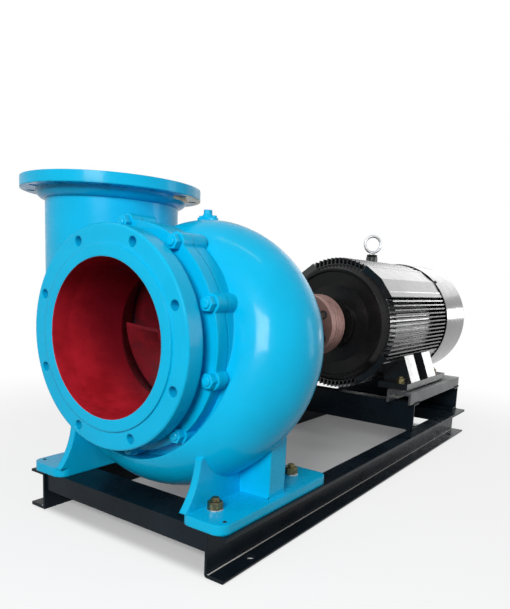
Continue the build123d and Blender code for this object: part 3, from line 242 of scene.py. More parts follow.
# %% Floor paint
NEAR_GLOW, GLOW_FROM, GLOW_BY = 0.75, 0.9, 2.2
BASE_END, BASE_SIDE, BASE_SHADE = (0.80, 0.84), (0.305, 0.33), 0.65
BOUNCE_GREY, FLOOR_WHITE = (0.2, 0.2, 0.2), (0.95, 0.95, 0.95)
floor_paint, floor_shader, place = start_finish("floor_white")
x, y, z = place.axes()
distance = (x * x + y * y) ** 0.5
under_base = abs(x).smooth(*BASE_END, 1.0, 0.0) * abs(y).smooth(*BASE_SIDE, 1.0, 0.0)
plug(floor_shader, Base_Color=seen_white(place).blend(BOUNCE_GREY, FLOOR_WHITE), Roughness=0.9,
     Specular_IOR_Level=0.0)
glow = place.node("ShaderNodeEmission", sockets={"Color": WHITE, "Strength": 1.0})
bright = distance.smooth(GLOW_FROM, GLOW_BY, NEAR_GLOW, 1.0) - under_base * BASE_SHADE
glow_share = bright * seen_white(place)
paint = Wire(place.tree, floor_shader.outputs["BSDF"])
both = place.node("ShaderNodeMixShader", sockets={0: glow_share, 1: paint, 2: glow})
plug(place.tree.nodes["Material Output"], Surface=both)
floor.data.materials.append(floor_paint)
print("floor paint: all glow from", GLOW_BY, "m out")

# %% [markdown]
# ## Lamps
# Five soft boxes. A large one on the left in front of the suction flange is the main light. A thin strip on
# the roof draws a line on the scroll's shoulder, and a tall window on the right draws the long highlights
# down the casing's flank and the motor. A panel behind the motor makes its fins and cowl shine, and a small
# low one on the far right gives the black gussets of the motor's feet something white to mirror.

# %% Lamps
def soft_box(name, place, target, wide, high, watts):
    """A rectangular lamp that faces a point."""
    lamp = bpy.data.lights.new(name, "AREA")
    lamp.shape, lamp.size, lamp.size_y, lamp.energy = "RECTANGLE", wide, high, watts
    holder = bpy.data.objects.new(name, lamp)
    bpy.context.scene.collection.objects.link(holder)
    holder.location = place
    holder.rotation_euler = (Vector(target) - Vector(place)).to_track_quat("-Z", "Y").to_euler()


soft_box("key_light", (-3.5, -1.25, 1.75), (-0.4, 0, 0.45), wide=1.4, high=1.0, watts=98)
soft_box("roof_strip", (-1.0, -0.1, 2.9), (-0.6, 0, 0.5), wide=1.6, high=0.06, watts=5)
soft_box("side_window", (1.5, -2.7, 1.0), (-0.2, -0.1, 0.4), wide=0.8, high=1.5, watts=14)
soft_box("rear_panel", (3.4, -0.1, 2.0), (0.5, 0, 0.5), wide=2.8, high=1.6, watts=17)
soft_box("low_panel", (3.0, -1.1, 0.64), (0.5, -0.24, 0.32), wide=0.7, high=0.32, watts=3.6)

# %% [markdown]
# ## Blue casting paint
# The pump is cast iron under two thick coats of bright blue enamel. Up close such a coat is never even: the
# sand mould leaves a soft grain, the spray gun leaves orange peel, and the colour varies slightly in soft
# clouds. Cast corners are round, while the CAD solid's are sharp, so a Bevel node rounds the shading there.
# Inside the water passages the paint is a red primer, which a mask on the distance from the shaft's line or
# from the neck's line picks out. The primer carries painted shade: it is painted darker further in and under
# the bore's roof. The two lines and the suction face are read from the record's mounts.

# %% Places and colours of the casting
mounts = {mount["name"]: mount["pos_m"] for mount in frame["record"]["mounts"]}
SUCTION_FACE = mounts["suction_face"][0]
SHAFT_HEIGHT = mounts["suction_bolts"][2]
NECK_LINE = mounts["discharge_bolts"][:2]
BLUE, DEEP_BLUE = (0.0012, 0.50, 0.82), (0.0008, 0.39, 0.64)
# The last red is painted shade, the primer's colour deep in the bore and under its roof
PRIMER_RED, DARK_RED, SHADE_RED = (0.58, 0.020, 0.036), (0.36, 0.010, 0.018), (0.10, 0.004, 0.010)
print("shaft at", SHAFT_HEIGHT, "m, suction face at", SUCTION_FACE, "m, neck at", NECK_LINE)


# %% Distances and round edges
def from_shaft(place):
    """Distance from the shaft's line."""
    x, y, z = place.axes()
    up = z - SHAFT_HEIGHT
    return (y * y + up * up) ** 0.5


def from_neck(place):
    """Distance from the discharge neck's upright line."""
    x, y, z = place.axes()
    along, side = x - NECK_LINE[0], y - NECK_LINE[1]
    return (along * along + side * side) ** 0.5


def rounded(place, radius, height, depth, strength=1.0):
    """Normal with rounded edges and a small relief on top."""
    edge = place.node("ShaderNodeBevel", {"samples": 6}, {"Radius": radius})
    sockets = {"Height": height, "Distance": depth, "Strength": strength, "Normal": edge}
    return place.node("ShaderNodeBump", sockets=sockets)


print("mask helpers:", from_shaft.__name__, from_neck.__name__, rounded.__name__)

# %% The casting paint as a function of its red areas
# Painted shade in the primer: where it is darkest behind the suction face, how dark, and how much more
# towards the roof
RED_SHADE_BY, RED_SHADE_MOST, ROOF_SHADE = 0.17, 0.8, 0.45
PEEL_SHARE, RELIEF_DEPTH, RELIEF_STRENGTH = 0.35, 0.0009, 0.35


def primer(place):
    """Red primer with painted shade, darker with the distance from the suction face and towards the top."""
    red = place.noise(14, 4, 0.6).smooth(0.3, 0.75).blend(PRIMER_RED, DARK_RED)
    x, y, z = place.axes()
    # Painted shade: deeper in and higher up, the primer is painted darker
    depth = x - SUCTION_FACE + ROOF_SHADE * (z - SHAFT_HEIGHT)
    return depth.smooth(0.0, RED_SHADE_BY, 0.0, RED_SHADE_MOST).blend(red, SHADE_RED)


def casting_paint(name, red_mask=None, corner=0.006, patch=None):
    """Blue enamel over cast iron; red_mask says where the primer shows, patch lays one more colour on."""
    material, shader, place = start_finish(name)
    cloud = place.noise(9, 4, 0.55)
    peel = place.noise(420, 2, 0.4)
    grain = place.noise(95, 3, 0.6)
    colour = cloud.smooth(0.3, 0.75, 0.0, 0.38).blend(BLUE, DEEP_BLUE)
    if red_mask:
        # Where the mask says, the primer with its painted shade shows
        colour = red_mask(place).blend(colour, primer(place))
    if patch:
        colour = patch(place, colour)
    relief = peel * PEEL_SHARE + grain * (1 - PEEL_SHARE)
    plug(shader, Base_Color=colour, Roughness=place.noise(30, 3).smooth(0.3, 0.7, 0.24, 0.34),
         Specular_IOR_Level=0.07, Coat_Weight=0.15, Coat_Roughness=0.10,
         Normal=rounded(place, corner, relief, RELIEF_DEPTH, RELIEF_STRENGTH))
    return material


print("primer reaches its darkest", RED_SHADE_BY, "m behind the suction face")

# %% Paint of cover and volute
# The masks reach 0.3 mm past the bores' walls
COVER_BORE, NECK_BORE, SPIGOT_BORE = 0.1753, 0.1503, 0.2143
NECK_RED_FROM = 0.60
PATCH_TAN = (0.92, 0.62, 0.38)
TAN_ROOT, TAN_EDGE, TAN_SOFT = 0.184, 0.2235, 0.004
TAN_LOW, TAN_HIGH = 0.80, 0.8078
TAN_NEAR, TAN_BEHIND, TAN_RAGGED = -0.110, 0.020, 0.020


def tan_patch(place, colour):
    """A tan patch with a ragged edge under the near rim of the discharge flange."""
    x, y, z = place.axes()
    ragged = place.noise(38, 3) * TAN_RAGGED
    across = (from_neck(place) + ragged).smooth(TAN_ROOT, TAN_ROOT + TAN_SOFT) * (from_neck(place) < TAN_EDGE)
    side = ((y - NECK_LINE[1] + ragged) < TAN_NEAR) * ((x - NECK_LINE[0] - ragged) > TAN_BEHIND)
    return (across * side * (z > TAN_LOW) * (z < TAN_HIGH)).blend(colour, PATCH_TAN)


def volute_red(place):
    """The neck's bore and the scroll's inside."""
    x, y, z = place.axes()
    neck = (from_neck(place) < NECK_BORE) * (z > NECK_RED_FROM)
    return neck.maths("MAXIMUM", neck, from_shaft(place) < SPIGOT_BORE)


cover_paint = casting_paint("cover_paint", lambda place: from_shaft(place) < COVER_BORE)
volute_paint = casting_paint("volute_paint", volute_red, patch=tan_patch)
fillet_paint = casting_paint("fillet_paint", corner=0.0005)
bolt_paint = casting_paint("bolt_paint", corner=0.0015)
print("casting paints:", [paint.name for paint in (cover_paint, volute_paint, fillet_paint, bolt_paint)])

# %% [markdown]
# ## Red parts in the water
# Impeller and wear ring carry the same primer, painted darker as shade deep in the casing, in random patches.

# %% Primer on the impeller
def primer_red(name, light, dark):
    """Red oxide primer on a casting."""
    material, shader, place = start_finish(name)
    patch = place.noise(22, 5, 0.6)
    relief = place.noise(160, 3, 0.6)
    plug(shader, Base_Color=patch.smooth(0.25, 0.75).blend(light, dark),
         Roughness=patch.smooth(0.3, 0.7, 0.32, 0.5), Specular_IOR_Level=0.35,
         Normal=rounded(place, radius=0.003, height=relief, depth=0.0008, strength=0.4))
    return material


# The impeller's primer is painted shade: much darker than the same primer in the bore
impeller_shaded_red = primer_red("impeller_shaded_red", light=(0.20, 0.010, 0.018), dark=(0.09, 0.006, 0.010))
print("primer:", impeller_shaded_red.name)

# %% [markdown]
# ## Black gloss
# Motor, base and pedestal are black gloss enamel. Black hides everything except its reflections, so the
# finish is made by the gloss: a low-index coat that stays deep black face on and turns pale towards the
# edges, over the slight waviness of cast iron on the motor and of rolled steel on the channels.

# %% Black enamel
# Pale grey of a painted highlight, laid along the root of the beams' lower flanges
HIGHLIGHT_GREY = (0.62, 0.60, 0.57)
BEAM_BLACK = (0.004, 0.008, 0.012)


def black_gloss(name, colour, roughness, wave, corner, specular=0.3, coat=0.0, painted_highlight=None):
    """Black enamel; wave is the relief's scale and depth, the last argument places a painted highlight."""
    material, shader, place = start_finish(name)
    scale, depth = wave
    relief = place.noise(scale, 3, 0.5)
    dust = place.noise(6, 5, 0.6).smooth(0.35, 0.8)
    pale = tuple(min(1, c * 1.9 + 0.002) for c in colour)
    shade = dust.blend(colour, pale)
    # A painted highlight: where the mask says, a pale line is laid into the colour
    if painted_highlight:
        shade = painted_highlight(place).blend(shade, HIGHLIGHT_GREY)
    plug(shader, Base_Color=shade, Specular_IOR_Level=specular, Coat_Weight=coat,
         Coat_Roughness=0.08, Roughness=place.noise(18, 3).smooth(0.3, 0.7, roughness, roughness + 0.1),
         Normal=rounded(place, corner, relief, depth, 0.5))
    return material


motor_black = black_gloss("motor_black", (0.007, 0.007, 0.007), 0.20, (140, 0.0006), 0.002, 0.16)
frame_black = black_gloss("frame_black", (0.008, 0.009, 0.010), 0.14, (140, 0.0004), 0.0012, 0.5, 0.3)
base_black = black_gloss("base_black", BEAM_BLACK, 0.24, (60, 0.0005), 0.002, 0.10)
cowl_black = black_gloss("cowl_black", (0.012, 0.012, 0.012), 0.16, (12, 0.0003), 0.0015, 0.7, 0.35)
bracket_black = black_gloss("bracket_black", (0.014, 0.014, 0.016), 0.38, (120, 0.0010), 0.004, 0.4)
rail_grey = black_gloss("rail_grey", (0.055, 0.058, 0.062), 0.30, (70, 0.0005), 0.002, 0.4)
print("enamels:", [paint.name for paint in (motor_black, frame_black, base_black, cowl_black, bracket_black)])

# %% The painted highlight along the beams
ROOT_INNER, ROOT_OUTER = 0.2795, 0.2838
ROOT_LOW, ROOT_HIGH = 0.0080, 0.0106
ROOT_WANDER = 0.0012


def root_highlight(place):
    """A painted highlight along the root of a beam's lower flange, where the rounded root catches the light.
    """
    x, y, z = place.axes()
    wander = place.noise(26, 3) * ROOT_WANDER
    out = abs(y)
    return (out > ROOT_INNER) * ((out + wander) < ROOT_OUTER) * (z > ROOT_LOW) * ((z + wander) < ROOT_HIGH)


# The beams carry the painted highlight along their lower flanges
beam_black = black_gloss("beam_black", BEAM_BLACK, 0.24, (60, 0.0005), 0.002, 0.10, painted_highlight=root_highlight)
print("the highlit line is", round((ROOT_OUTER - ROOT_INNER) * 1000, 1), "mm wide at most")

# %% [markdown]
# ## Metals
# Machined steel shows fine turning marks round its axis, bolts are zinc plated with a faint yellow or blue
# cast, and the coupling's iron has gone slightly pink with flash rust.

# %% Metals
def turned_metal(name, colour, tint, roughness, pitch, depth, metallic=1.0):
    """Lathe-turned metal: rings of fine grooves along the shaft's direction."""
    material, shader, place = start_finish(name)
    x, y, z = place.axes()
    rings = x.maths("SINE", x * (2 * math.pi / pitch))
    stain = place.noise(26, 5, 0.65)
    plug(shader, Base_Color=stain.smooth(0.35, 0.7).blend(colour, tint), Metallic=metallic,
         Roughness=stain.smooth(0.3, 0.7, roughness, roughness + 0.18),
         Normal=rounded(place, 0.001, rings, depth, 0.3))
    return material


def plated_metal(name, colour, tint, roughness):
    """Zinc-plated steel, cloudy from the bath."""
    material, shader, place = start_finish(name)
    stain = place.noise(70, 4, 0.6)
    plug(shader, Base_Color=stain.smooth(0.35, 0.7).blend(colour, tint), Metallic=1.0,
         Roughness=stain.smooth(0.3, 0.7, roughness, roughness + 0.2),
         Normal=rounded(place, 0.0006, place.noise(300, 2), 0.0002, 0.4))
    return material


ground_steel = turned_metal("ground_steel", (0.58, 0.57, 0.56), (0.46, 0.44, 0.42), 0.22, 0.0011, 0.00012)
coupling_iron = turned_metal("coupling_iron", (0.47, 0.29, 0.26), (0.30, 0.17, 0.15), 0.34, 0.0016, 0.0002,
                             metallic=0.75)
core_steel = turned_metal("core_steel", (0.20, 0.20, 0.21), (0.12, 0.12, 0.12), 0.45, 0.0010, 0.0003)
zinc = plated_metal("zinc", (0.60, 0.61, 0.62), (0.44, 0.45, 0.47), 0.28)
yellow_zinc = plated_metal("yellow_zinc", (0.22, 0.185, 0.085), (0.07, 0.065, 0.045), 0.34)
dark_steel = plated_metal("dark_steel", (0.06, 0.06, 0.065), (0.03, 0.03, 0.03), 0.35)
copper = plated_metal("copper", (0.55, 0.24, 0.10), (0.38, 0.14, 0.05), 0.35)
print("metals:", [metal.name for metal in (ground_steel, coupling_iron, core_steel, zinc, yellow_zinc)])

# %% [markdown]
# ## Rubber, gasket and plastic
# Small soft parts: matt, slightly dusty, with a fine speckle.

# %% Matt parts
def matt(name, colour, speck, roughness):
    """Matt rubber, fibre or plastic with a fine speckle."""
    material, shader, place = start_finish(name)
    grain = place.noise(260, 3, 0.7)
    plug(shader, Base_Color=grain.smooth(0.35, 0.7).blend(colour, speck), Roughness=roughness,
         Specular_IOR_Level=0.3, Normal=rounded(place, 0.001, grain, 0.0003, 0.4))
    return material


rubber = matt("rubber", (0.020, 0.020, 0.021), (0.035, 0.034, 0.033), 0.75)
gasket_fibre = matt("gasket_fibre", (0.13, 0.12, 0.10), (0.20, 0.18, 0.15), 0.85)
fan_plastic = matt("fan_plastic", (0.028, 0.028, 0.030), (0.045, 0.045, 0.046), 0.5)
print("matt parts:", [finish.name for finish in (rubber, gasket_fibre, fan_plastic)])

# %% [markdown]
# ## One finish for every CAD node
# The record's material slots say what each node is made of. The table below turns them into the finishes
# above, and a few nodes get their own.

# %% Assign the finishes
FINISH_OF_SLOT = {
    "blue_paint": volute_paint, "liner_red": impeller_shaded_red, "gasket_sheet": gasket_fibre,
    "blue_bolts": bolt_paint, "dark_cast": bracket_black, "zinc_bolts": zinc, "ground_steel": ground_steel,
    "coupling_iron": coupling_iron, "rubber": rubber, "yellow_zinc": yellow_zinc, "motor_black": motor_black,
    "core_steel": core_steel, "copper_winding": copper, "fan_plastic": fan_plastic, "base_black": base_black,
    "rail_grey": rail_grey,
}
OWN_FINISH = {"suction_cover": cover_paint, "cover_gasket": bolt_paint, "fan_cowl": cowl_black,
              "motor_frame": frame_black, "base_beam_near": beam_black, "base_beam_far": beam_black}
for part in frame["record"]["subparts"]:
    node = nodes[part["node"]]
    finish = OWN_FINISH.get(part["node"], FINISH_OF_SLOT[part["material_slot"]])
    node.data.materials.clear()
    node.data.materials.append(finish)

# %% [markdown]
# ## Small hardware
# Nuts, studs and plugs are what the eye takes the size from. A real nut is a hexagonal bar whose corners a
# lathe tool has cut back to a cone, and a stud ends in a small chamfer above its thread. The CAD model has
# plain prisms there. Turned shapes come from an outline that bmesh spins round Z, and the hexagon comes from
# a circle that is extruded ring by ring, each ring moved out to the bar's outline, as deep as the cone cuts.

# %% Turned forms
ROOT_SHARE, TIP_SHARE, TIP_CUT = 0.88, 0.78, 0.2


def turned_form(outline, segments=24, closed=False):
    """Solid of revolution about Z from (radius, height) points."""
    made = bmesh.new()
    corners = [made.verts.new((radius, 0, height)) for radius, height in outline]
    ends = corners + corners[:1] if closed else corners
    edges = [made.edges.new(pair) for pair in zip(ends, ends[1:])]
    bmesh.ops.spin(made, geom=corners + edges, cent=(0, 0, 0), axis=(0, 0, 1), angle=math.tau,
                   steps=segments, use_merge=True)
    bmesh.ops.remove_doubles(made, verts=made.verts, dist=1e-6)
    bmesh.ops.recalc_face_normals(made, faces=made.faces)
    return made


def stud(radius, start, end, pitch):
    """Threaded rod from one height to another, with a chamfered end."""
    outline = [(0, start), (radius, start)]
    height = start + pitch
    while height + 2 * pitch < end:
        outline += [(radius, height), (radius * ROOT_SHARE, height + pitch / 2)]
        height += pitch
    outline += [(radius, height), (radius, end - radius * TIP_CUT), (radius * TIP_SHARE, end), (0, end)]
    return turned_form(outline)


print("a stud of 80 mm has", len(stud(0.010, 0, 0.080, 0.0025).faces), "faces")

# %% Hexagons
CHAMFER_SLOPE = math.tan(math.radians(30))
TURNED_SHARE = 0.475


def hexagon(flats, height, bore=0.0, segments=48):
    """Nut, or bolt head when bore is 0, standing on the floor of its own axes."""
    made = bmesh.new()
    turned = flats * TURNED_SHARE

    def cone(angle, level, way):
        """Radius of the bar's side at an angle, and the height at which the cone meets it."""
        reach = flats / 2 / math.cos(angle % (math.pi / 3) - math.pi / 6)
        return reach, level + way * (reach - turned) * CHAMFER_SLOPE

    rings = [lambda a: (turned, 0), lambda a: cone(a, 0, 1), lambda a: cone(a, height, -1),
             lambda a: (turned, height)]
    if bore:
        rings = rings + [lambda a: (bore, height)]
    bmesh.ops.create_circle(made, segments=segments, radius=bore or turned, cap_ends=not bore)
    loop, first = made.edges[:], made.edges[:]
    for ring in rings if bore else rings[1:]:
        grown = bmesh.ops.extrude_edge_only(made, edges=loop)["geom"]
        fresh = {item for item in grown if isinstance(item, bmesh.types.BMVert)}
        for vert in fresh:
            angle = math.atan2(vert.co.y, vert.co.x)
            reach, level = ring(angle)
            vert.co = (reach * math.cos(angle), reach * math.sin(angle), level)
        loop = [item for item in grown if isinstance(item, bmesh.types.BMEdge) and set(item.verts) <= fresh]
    if bore:
        bmesh.ops.bridge_loops(made, edges=first + loop)
    else:
        bmesh.ops.edgeloop_fill(made, edges=loop)
    bmesh.ops.recalc_face_normals(made, faces=made.faces)
    return made


print("a nut has", len(hexagon(0.030, 0.016, 0.010).faces), "faces")

# %% [markdown]
# ## Many copies, one piece
# The same bolt comes ten times round a flange. One template is added to the piece's bmesh once per place, and
# a small matrix turns and moves the new vertices, so the finished object stays at the origin as a CAD node's
# does. Faces are shaded smooth, and edges sharper than a limit stay crisp.

# %% Placing helpers
UP, SIDES = (0, 0, 1), (-1, 1)


def toward(point, direction):
    """Matrix that puts a template's floor at a point and its Z along a direction."""
    return Matrix.Translation(point) @ Vector(direction).to_track_quat("Z", "Y").to_matrix().to_4x4()


def raised(places, height):
    """The same places moved along the template's own Z."""
    return [place @ Matrix.Translation((0, 0, height)) for place in places]


def round_shaft(x, circle, count, first, way):
    """Places round the shaft: x behind the suction face, first degrees clockwise from the top."""
    angles = [math.radians(first + 360 * number / count) for number in range(count)]
    return [toward((SUCTION_FACE + x, -circle * math.sin(angle), SHAFT_HEIGHT + circle * math.cos(angle)),
                   (way, 0, 0)) for angle in angles]


def gather(parts):
    """One bmesh from (template, places) pairs."""
    whole = bmesh.new()
    for template, places in parts:
        scrap = bpy.data.meshes.new("template")
        template.to_mesh(scrap)
        for place in places:
            old = len(whole.verts)
            whole.from_mesh(scrap)
            whole.verts.ensure_lookup_table()
            bmesh.ops.transform(whole, matrix=place, verts=whole.verts[old:])
        bpy.data.meshes.remove(scrap)
        template.free()
    return whole


def settle(name, made, finish, body, slot, replaces=(), sharp=30):
    """Turns a bmesh into a finished piece on its body."""
    mesh = bpy.data.meshes.new(name)
    made.to_mesh(mesh)
    made.free()
    mesh.materials.append(finish)
    mesh.shade_smooth()
    mesh.set_sharp_from_angle(angle=math.radians(sharp))
    piece = bpy.data.objects.new(name, mesh)
    bpy.context.scene.collection.objects.link(piece)
    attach(piece, body)
    if replaces:
        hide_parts(*replaces)
    print(name, len(mesh.polygons), "faces")


print("placing helpers:", [helper.__name__ for helper in (toward, raised, round_shaft, gather, settle)])

# %% [markdown]
# ## Fasteners of the pump
# Ten M20 studs hold the suction cover, painted over with the casting. Bolts of the bearing bracket and the
# gland are bright zinc. Each piece stands for the plain CAD node of the same fastener.

# %% Standard sizes
# Nuts: width over the flats, height, bore. Heads: width over the flats, height. Rods: radius.
M20_NUT, M20_HEAD, M20_ROD = (0.030, 0.016, 0.0101), (0.030, 0.0125), 0.010
M18_NUT, M18_HEAD, M18_ROD = (0.027, 0.014, 0.0091), (0.027, 0.011), 0.009
M12_NUT, M12_ROD = (0.019, 0.012, 0.0061), 0.006
M16_HEAD, M12_HEAD, M10_HEAD, M8_HEAD, M6_HEAD = ((0.024, 0.010), (0.018, 0.011), (0.017, 0.007),
                                                  (0.013, 0.005), (0.010, 0.005))
COARSE_PITCH, FINE_PITCH = 0.0025, 0.00175
print("nuts:", [round(nut[0] * 1000) for nut in (M20_NUT, M18_NUT, M12_NUT)], "mm over the flats")

# %% Suction cover studs and nuts
COVER_FACE, COVER_CIRCLE, COVER_STUDS, COVER_FIRST = 0.076, 0.252, 10, 33
cover_places = round_shaft(COVER_FACE, COVER_CIRCLE, COVER_STUDS, COVER_FIRST, -1)
cover_stud = stud(M20_ROD, -0.060, 0.020, COARSE_PITCH)
settle("cover_fasteners", gather([(hexagon(*M20_NUT), cover_places), (cover_stud, cover_places)]),
       bolt_paint, "pump_set", "blue_bolts", ["cover_nuts", "cover_studs"])

# %% Bracket bolts
BRACKET_FACE, BRACKET_CIRCLE, BRACKET_BOLTS = 0.394, 0.212, 8
SHANK, SHANK_DEPTH, SHANK_TOP = 0.008, 0.067, 0.001
bracket_places = round_shaft(BRACKET_FACE, BRACKET_CIRCLE, BRACKET_BOLTS, 0, 1)
shank = turned_form([(0, -SHANK_DEPTH), (SHANK, -SHANK_DEPTH), (SHANK, SHANK_TOP), (0, SHANK_TOP)])
settle("bracket_hardware", gather([(hexagon(*M16_HEAD), bracket_places), (shank, bracket_places)]),
       zinc, "pump_set", "zinc_bolts", ["bracket_bolts"])

# %% Gland and bearing cover bolts
GLAND_FACE, GLAND_CIRCLE = 0.458, 0.080
gland_places = round_shaft(GLAND_FACE, GLAND_CIRCLE, 2, 90, 1)
gland_stud = stud(M12_ROD, -0.093, 0.022, FINE_PITCH)
settle("gland_hardware", gather([(hexagon(*M12_NUT), gland_places), (gland_stud, gland_places)]),
       zinc, "pump_set", "zinc_bolts", ["gland_bolts"])
INNER_COVER, OUTER_COVER, BEARING_CIRCLE, BEARING_BOLTS = 0.524, 0.781, 0.088, 6
bearing_places = [place for face, way in ((INNER_COVER, -1), (OUTER_COVER, 1))
                  for place in round_shaft(face, BEARING_CIRCLE, BEARING_BOLTS, 30, way)]
settle("bearing_cover_hardware", gather([(hexagon(*M10_HEAD), bearing_places)]),
       zinc, "pump_set", "zinc_bolts", ["bearing_cover_bolts"])

# %% [markdown]
# ## Foot bolts
# The casting stands on the base with four M20 bolts. In the photograph the washer is pale and clean, the nut
# dark with a yellow cast, and the threads stand a little out of it.

# %% Foot bolts, nuts and washers
FOOT_MIDDLE, FOOT_TOP = SUCTION_FACE + 0.253, 0.122
FOOT_ALONG, FOOT_ACROSS, HEAD_UNDER_BASE = 0.1515, 0.244, 0.0405
WASHER, WASHER_CHAMFER = 0.003, 0.0006


def washer(bore, outside):
    """Flat washer with a chamfer round its top."""
    return turned_form([(bore, 0), (outside, 0), (outside, WASHER - WASHER_CHAMFER),
                        (outside - WASHER_CHAMFER, WASHER), (bore, WASHER)], segments=32, closed=True)


foot_places = [toward((FOOT_MIDDLE + along * FOOT_ALONG, side * FOOT_ACROSS, FOOT_TOP), UP)
               for along in SIDES for side in SIDES]
settle("foot_washers", gather([(washer(0.0105, 0.0185), foot_places)]), zinc, "pump_set", "yellow_zinc",
       ["pump_foot_washers"])
settle("foot_bolts", gather([(hexagon(*M20_NUT), raised(foot_places, WASHER)),
                             (hexagon(*M20_HEAD), raised(foot_places, -HEAD_UNDER_BASE)),
                             (stud(M20_ROD, -0.029, 0.027, COARSE_PITCH), foot_places)]),
       yellow_zinc, "pump_set", "yellow_zinc", ["pump_foot_bolts", "pump_foot_nuts"])

# %% Dowel pins
DOWEL_ALONG, DOWEL_ACROSS = SUCTION_FACE + 0.063, 0.302
dowel = turned_form([(0, 0), (0.0045, 0), (0.0045, 0.0006), (0.0036, 0.0012), (0.0028, 0.0004), (0, 0.0004)])
dowel_places = [toward((DOWEL_ALONG, side * DOWEL_ACROSS, FOOT_TOP), UP) for side in SIDES]
settle("dowel_pins", gather([(dowel, dowel_places)]), dark_steel, "pump_set", "zinc_bolts")

# %% [markdown]
# ## Priming plug
# On the crown of the scroll sits a small eared flange with a cone and a hexagon plug, from which the casing
# is vented before the start. The flange's ears are a block whose upright edges are beveled until they are
# round, with a small bolt in each ear.

# %% Eared flange
EAR_BLOCK = (0.030, 0.056, 0.016)
EAR_ROUND, EAR_RIM, RIM_ANGLE = 0.0145, 0.002, 1


def round_edges(made, edges, offset, segments):
    """Bevels the edges to a round form."""
    bmesh.ops.bevel(made, geom=edges, offset=offset, offset_type="OFFSET", segments=segments, profile=0.5,
                    affect="EDGES", material=-1)


ears = bmesh.new()
bmesh.ops.create_cube(ears, size=1)
bmesh.ops.scale(ears, vec=EAR_BLOCK, verts=ears.verts)
upright = [edge for edge in ears.edges if abs(edge.verts[0].co.z - edge.verts[1].co.z) > EAR_BLOCK[2] / 2]
round_edges(ears, upright, EAR_ROUND, 8)
top_edges = [edge for edge in ears.edges if all(vert.co.z > EAR_BLOCK[2] / 4 for vert in edge.verts)]
rim = [edge for edge in top_edges if edge.calc_face_angle(0) > RIM_ANGLE]
round_edges(ears, rim, EAR_RIM, 2)
print("eared flange:", len(ears.faces), "faces,", len(rim), "edges round its top")

# %% Cone, hexagon and ear bolts
PLUG_PLACE = Vector((-0.595, -0.053, 0.746))
HEXAGON_AT, EAR_BOLT_OUT, EAR_TOP = 0.0155, 0.0205, EAR_BLOCK[2] / 2
cone = turned_form([(0, 0.006), (0.0155, 0.006), (0.0150, 0.009), (0.0105, 0.017), (0, 0.017)])
plug_place = [Matrix.Translation(PLUG_PLACE)]
ear_bolts = [Matrix.Translation(PLUG_PLACE + Vector((0, side * EAR_BOLT_OUT, EAR_TOP))) for side in SIDES]
settle("priming_fitting", gather([(ears, plug_place), (cone, plug_place),
                                  (hexagon(*M12_HEAD), raised(plug_place, HEXAGON_AT)),
                                  (hexagon(*M6_HEAD), ear_bolts)]),
       bolt_paint, "pump_set", "blue_bolts", ["priming_plug"])

# %% [markdown]
# ## Motor and coupling hardware
# Nuts of the coupling pins turn with the motor's half. The motor stands on four bolts, the terminal box lid
# and the fan cowl are held by small screws.

# %% Coupling pins
PIN_FACE, PIN_CIRCLE, PIN_COUNT = 0.931, 0.078, 6
PIN_NUT = (0.024, 0.010, 0.0091)
pin_places = round_shaft(PIN_FACE, PIN_CIRCLE, PIN_COUNT, 0, 1)
pin = turned_form([(0, -0.091), (0.009, -0.091), (0.009, 0.011), (0.0075, 0.013), (0, 0.013)])
settle("coupling_pin_hardware", gather([(hexagon(*PIN_NUT), pin_places), (pin, pin_places)]),
       ground_steel, "motor_rotor", "ground_steel", ["coupling_pins"])

# %% Motor foot bolts
MOTOR_FOOT_FRONT, MOTOR_FOOT_REAR, MOTOR_FOOT_ACROSS, MOTOR_FOOT_TOP = 1.164, 1.512, 0.225, 0.268
HEAD_UNDER_RAIL = 0.047
motor_places = [toward((SUCTION_FACE + along, side * MOTOR_FOOT_ACROSS, MOTOR_FOOT_TOP), UP)
                for along in (MOTOR_FOOT_FRONT, MOTOR_FOOT_REAR) for side in SIDES]
settle("motor_foot_hardware", gather([(hexagon(*M18_NUT), raised(motor_places, WASHER)),
                                      (washer(0.0092, 0.017), motor_places),
                                      (hexagon(*M18_HEAD), raised(motor_places, -HEAD_UNDER_RAIL)),
                                      (stud(M18_ROD, -0.037, 0.023, COARSE_PITCH), motor_places)]),
       yellow_zinc, "pump_set", "yellow_zinc", ["motor_foot_bolts"])

# %% Screws of the terminal box lid and the cowl
LID_MIDDLE, LID_FACE, LID_LEVEL = 0.435, 0.336, 0.531
LID_ALONG, LID_HIGH = 0.088, 0.063
COWL_SCREW_AT, COWL_RADIUS = 0.748, 0.240
lid_places = [toward((LID_MIDDLE + along * LID_ALONG, LID_FACE, LID_LEVEL + high * LID_HIGH), (0, 1, 0))
              for along in SIDES for high in SIDES]
settle("lid_hardware", gather([(hexagon(*M8_HEAD), lid_places)]), zinc, "pump_set", "zinc_bolts",
       ["lid_screws"])
socket_screw = turned_form([(0, 0.0012), (0.003, 0.0012), (0.003, 0.004), (0.0058, 0.004), (0.007, 0.0028),
                            (0.007, 0), (0, 0)])
cowl_places = []
for angle in (math.radians(45 + 90 * quarter) for quarter in range(4)):
    out = Vector((0, math.sin(angle), math.cos(angle)))
    cowl_places.append(toward(Vector((COWL_SCREW_AT, 0, SHAFT_HEIGHT)) + out * COWL_RADIUS, out))
settle("cowl_hardware", gather([(socket_screw, cowl_places)]), dark_steel, "pump_set", "zinc_bolts",
       ["cowl_screws"])

# %% [markdown]
# ## Lifting eye
# An eye bolt is screwed down until it is tight, so its ring stands at any angle. In the photograph it faces
# the camera's side. The ring is a small circle of vertices that is spun round an axis of its own, and then
# turned about the screw. Neck and collar are turned forms.

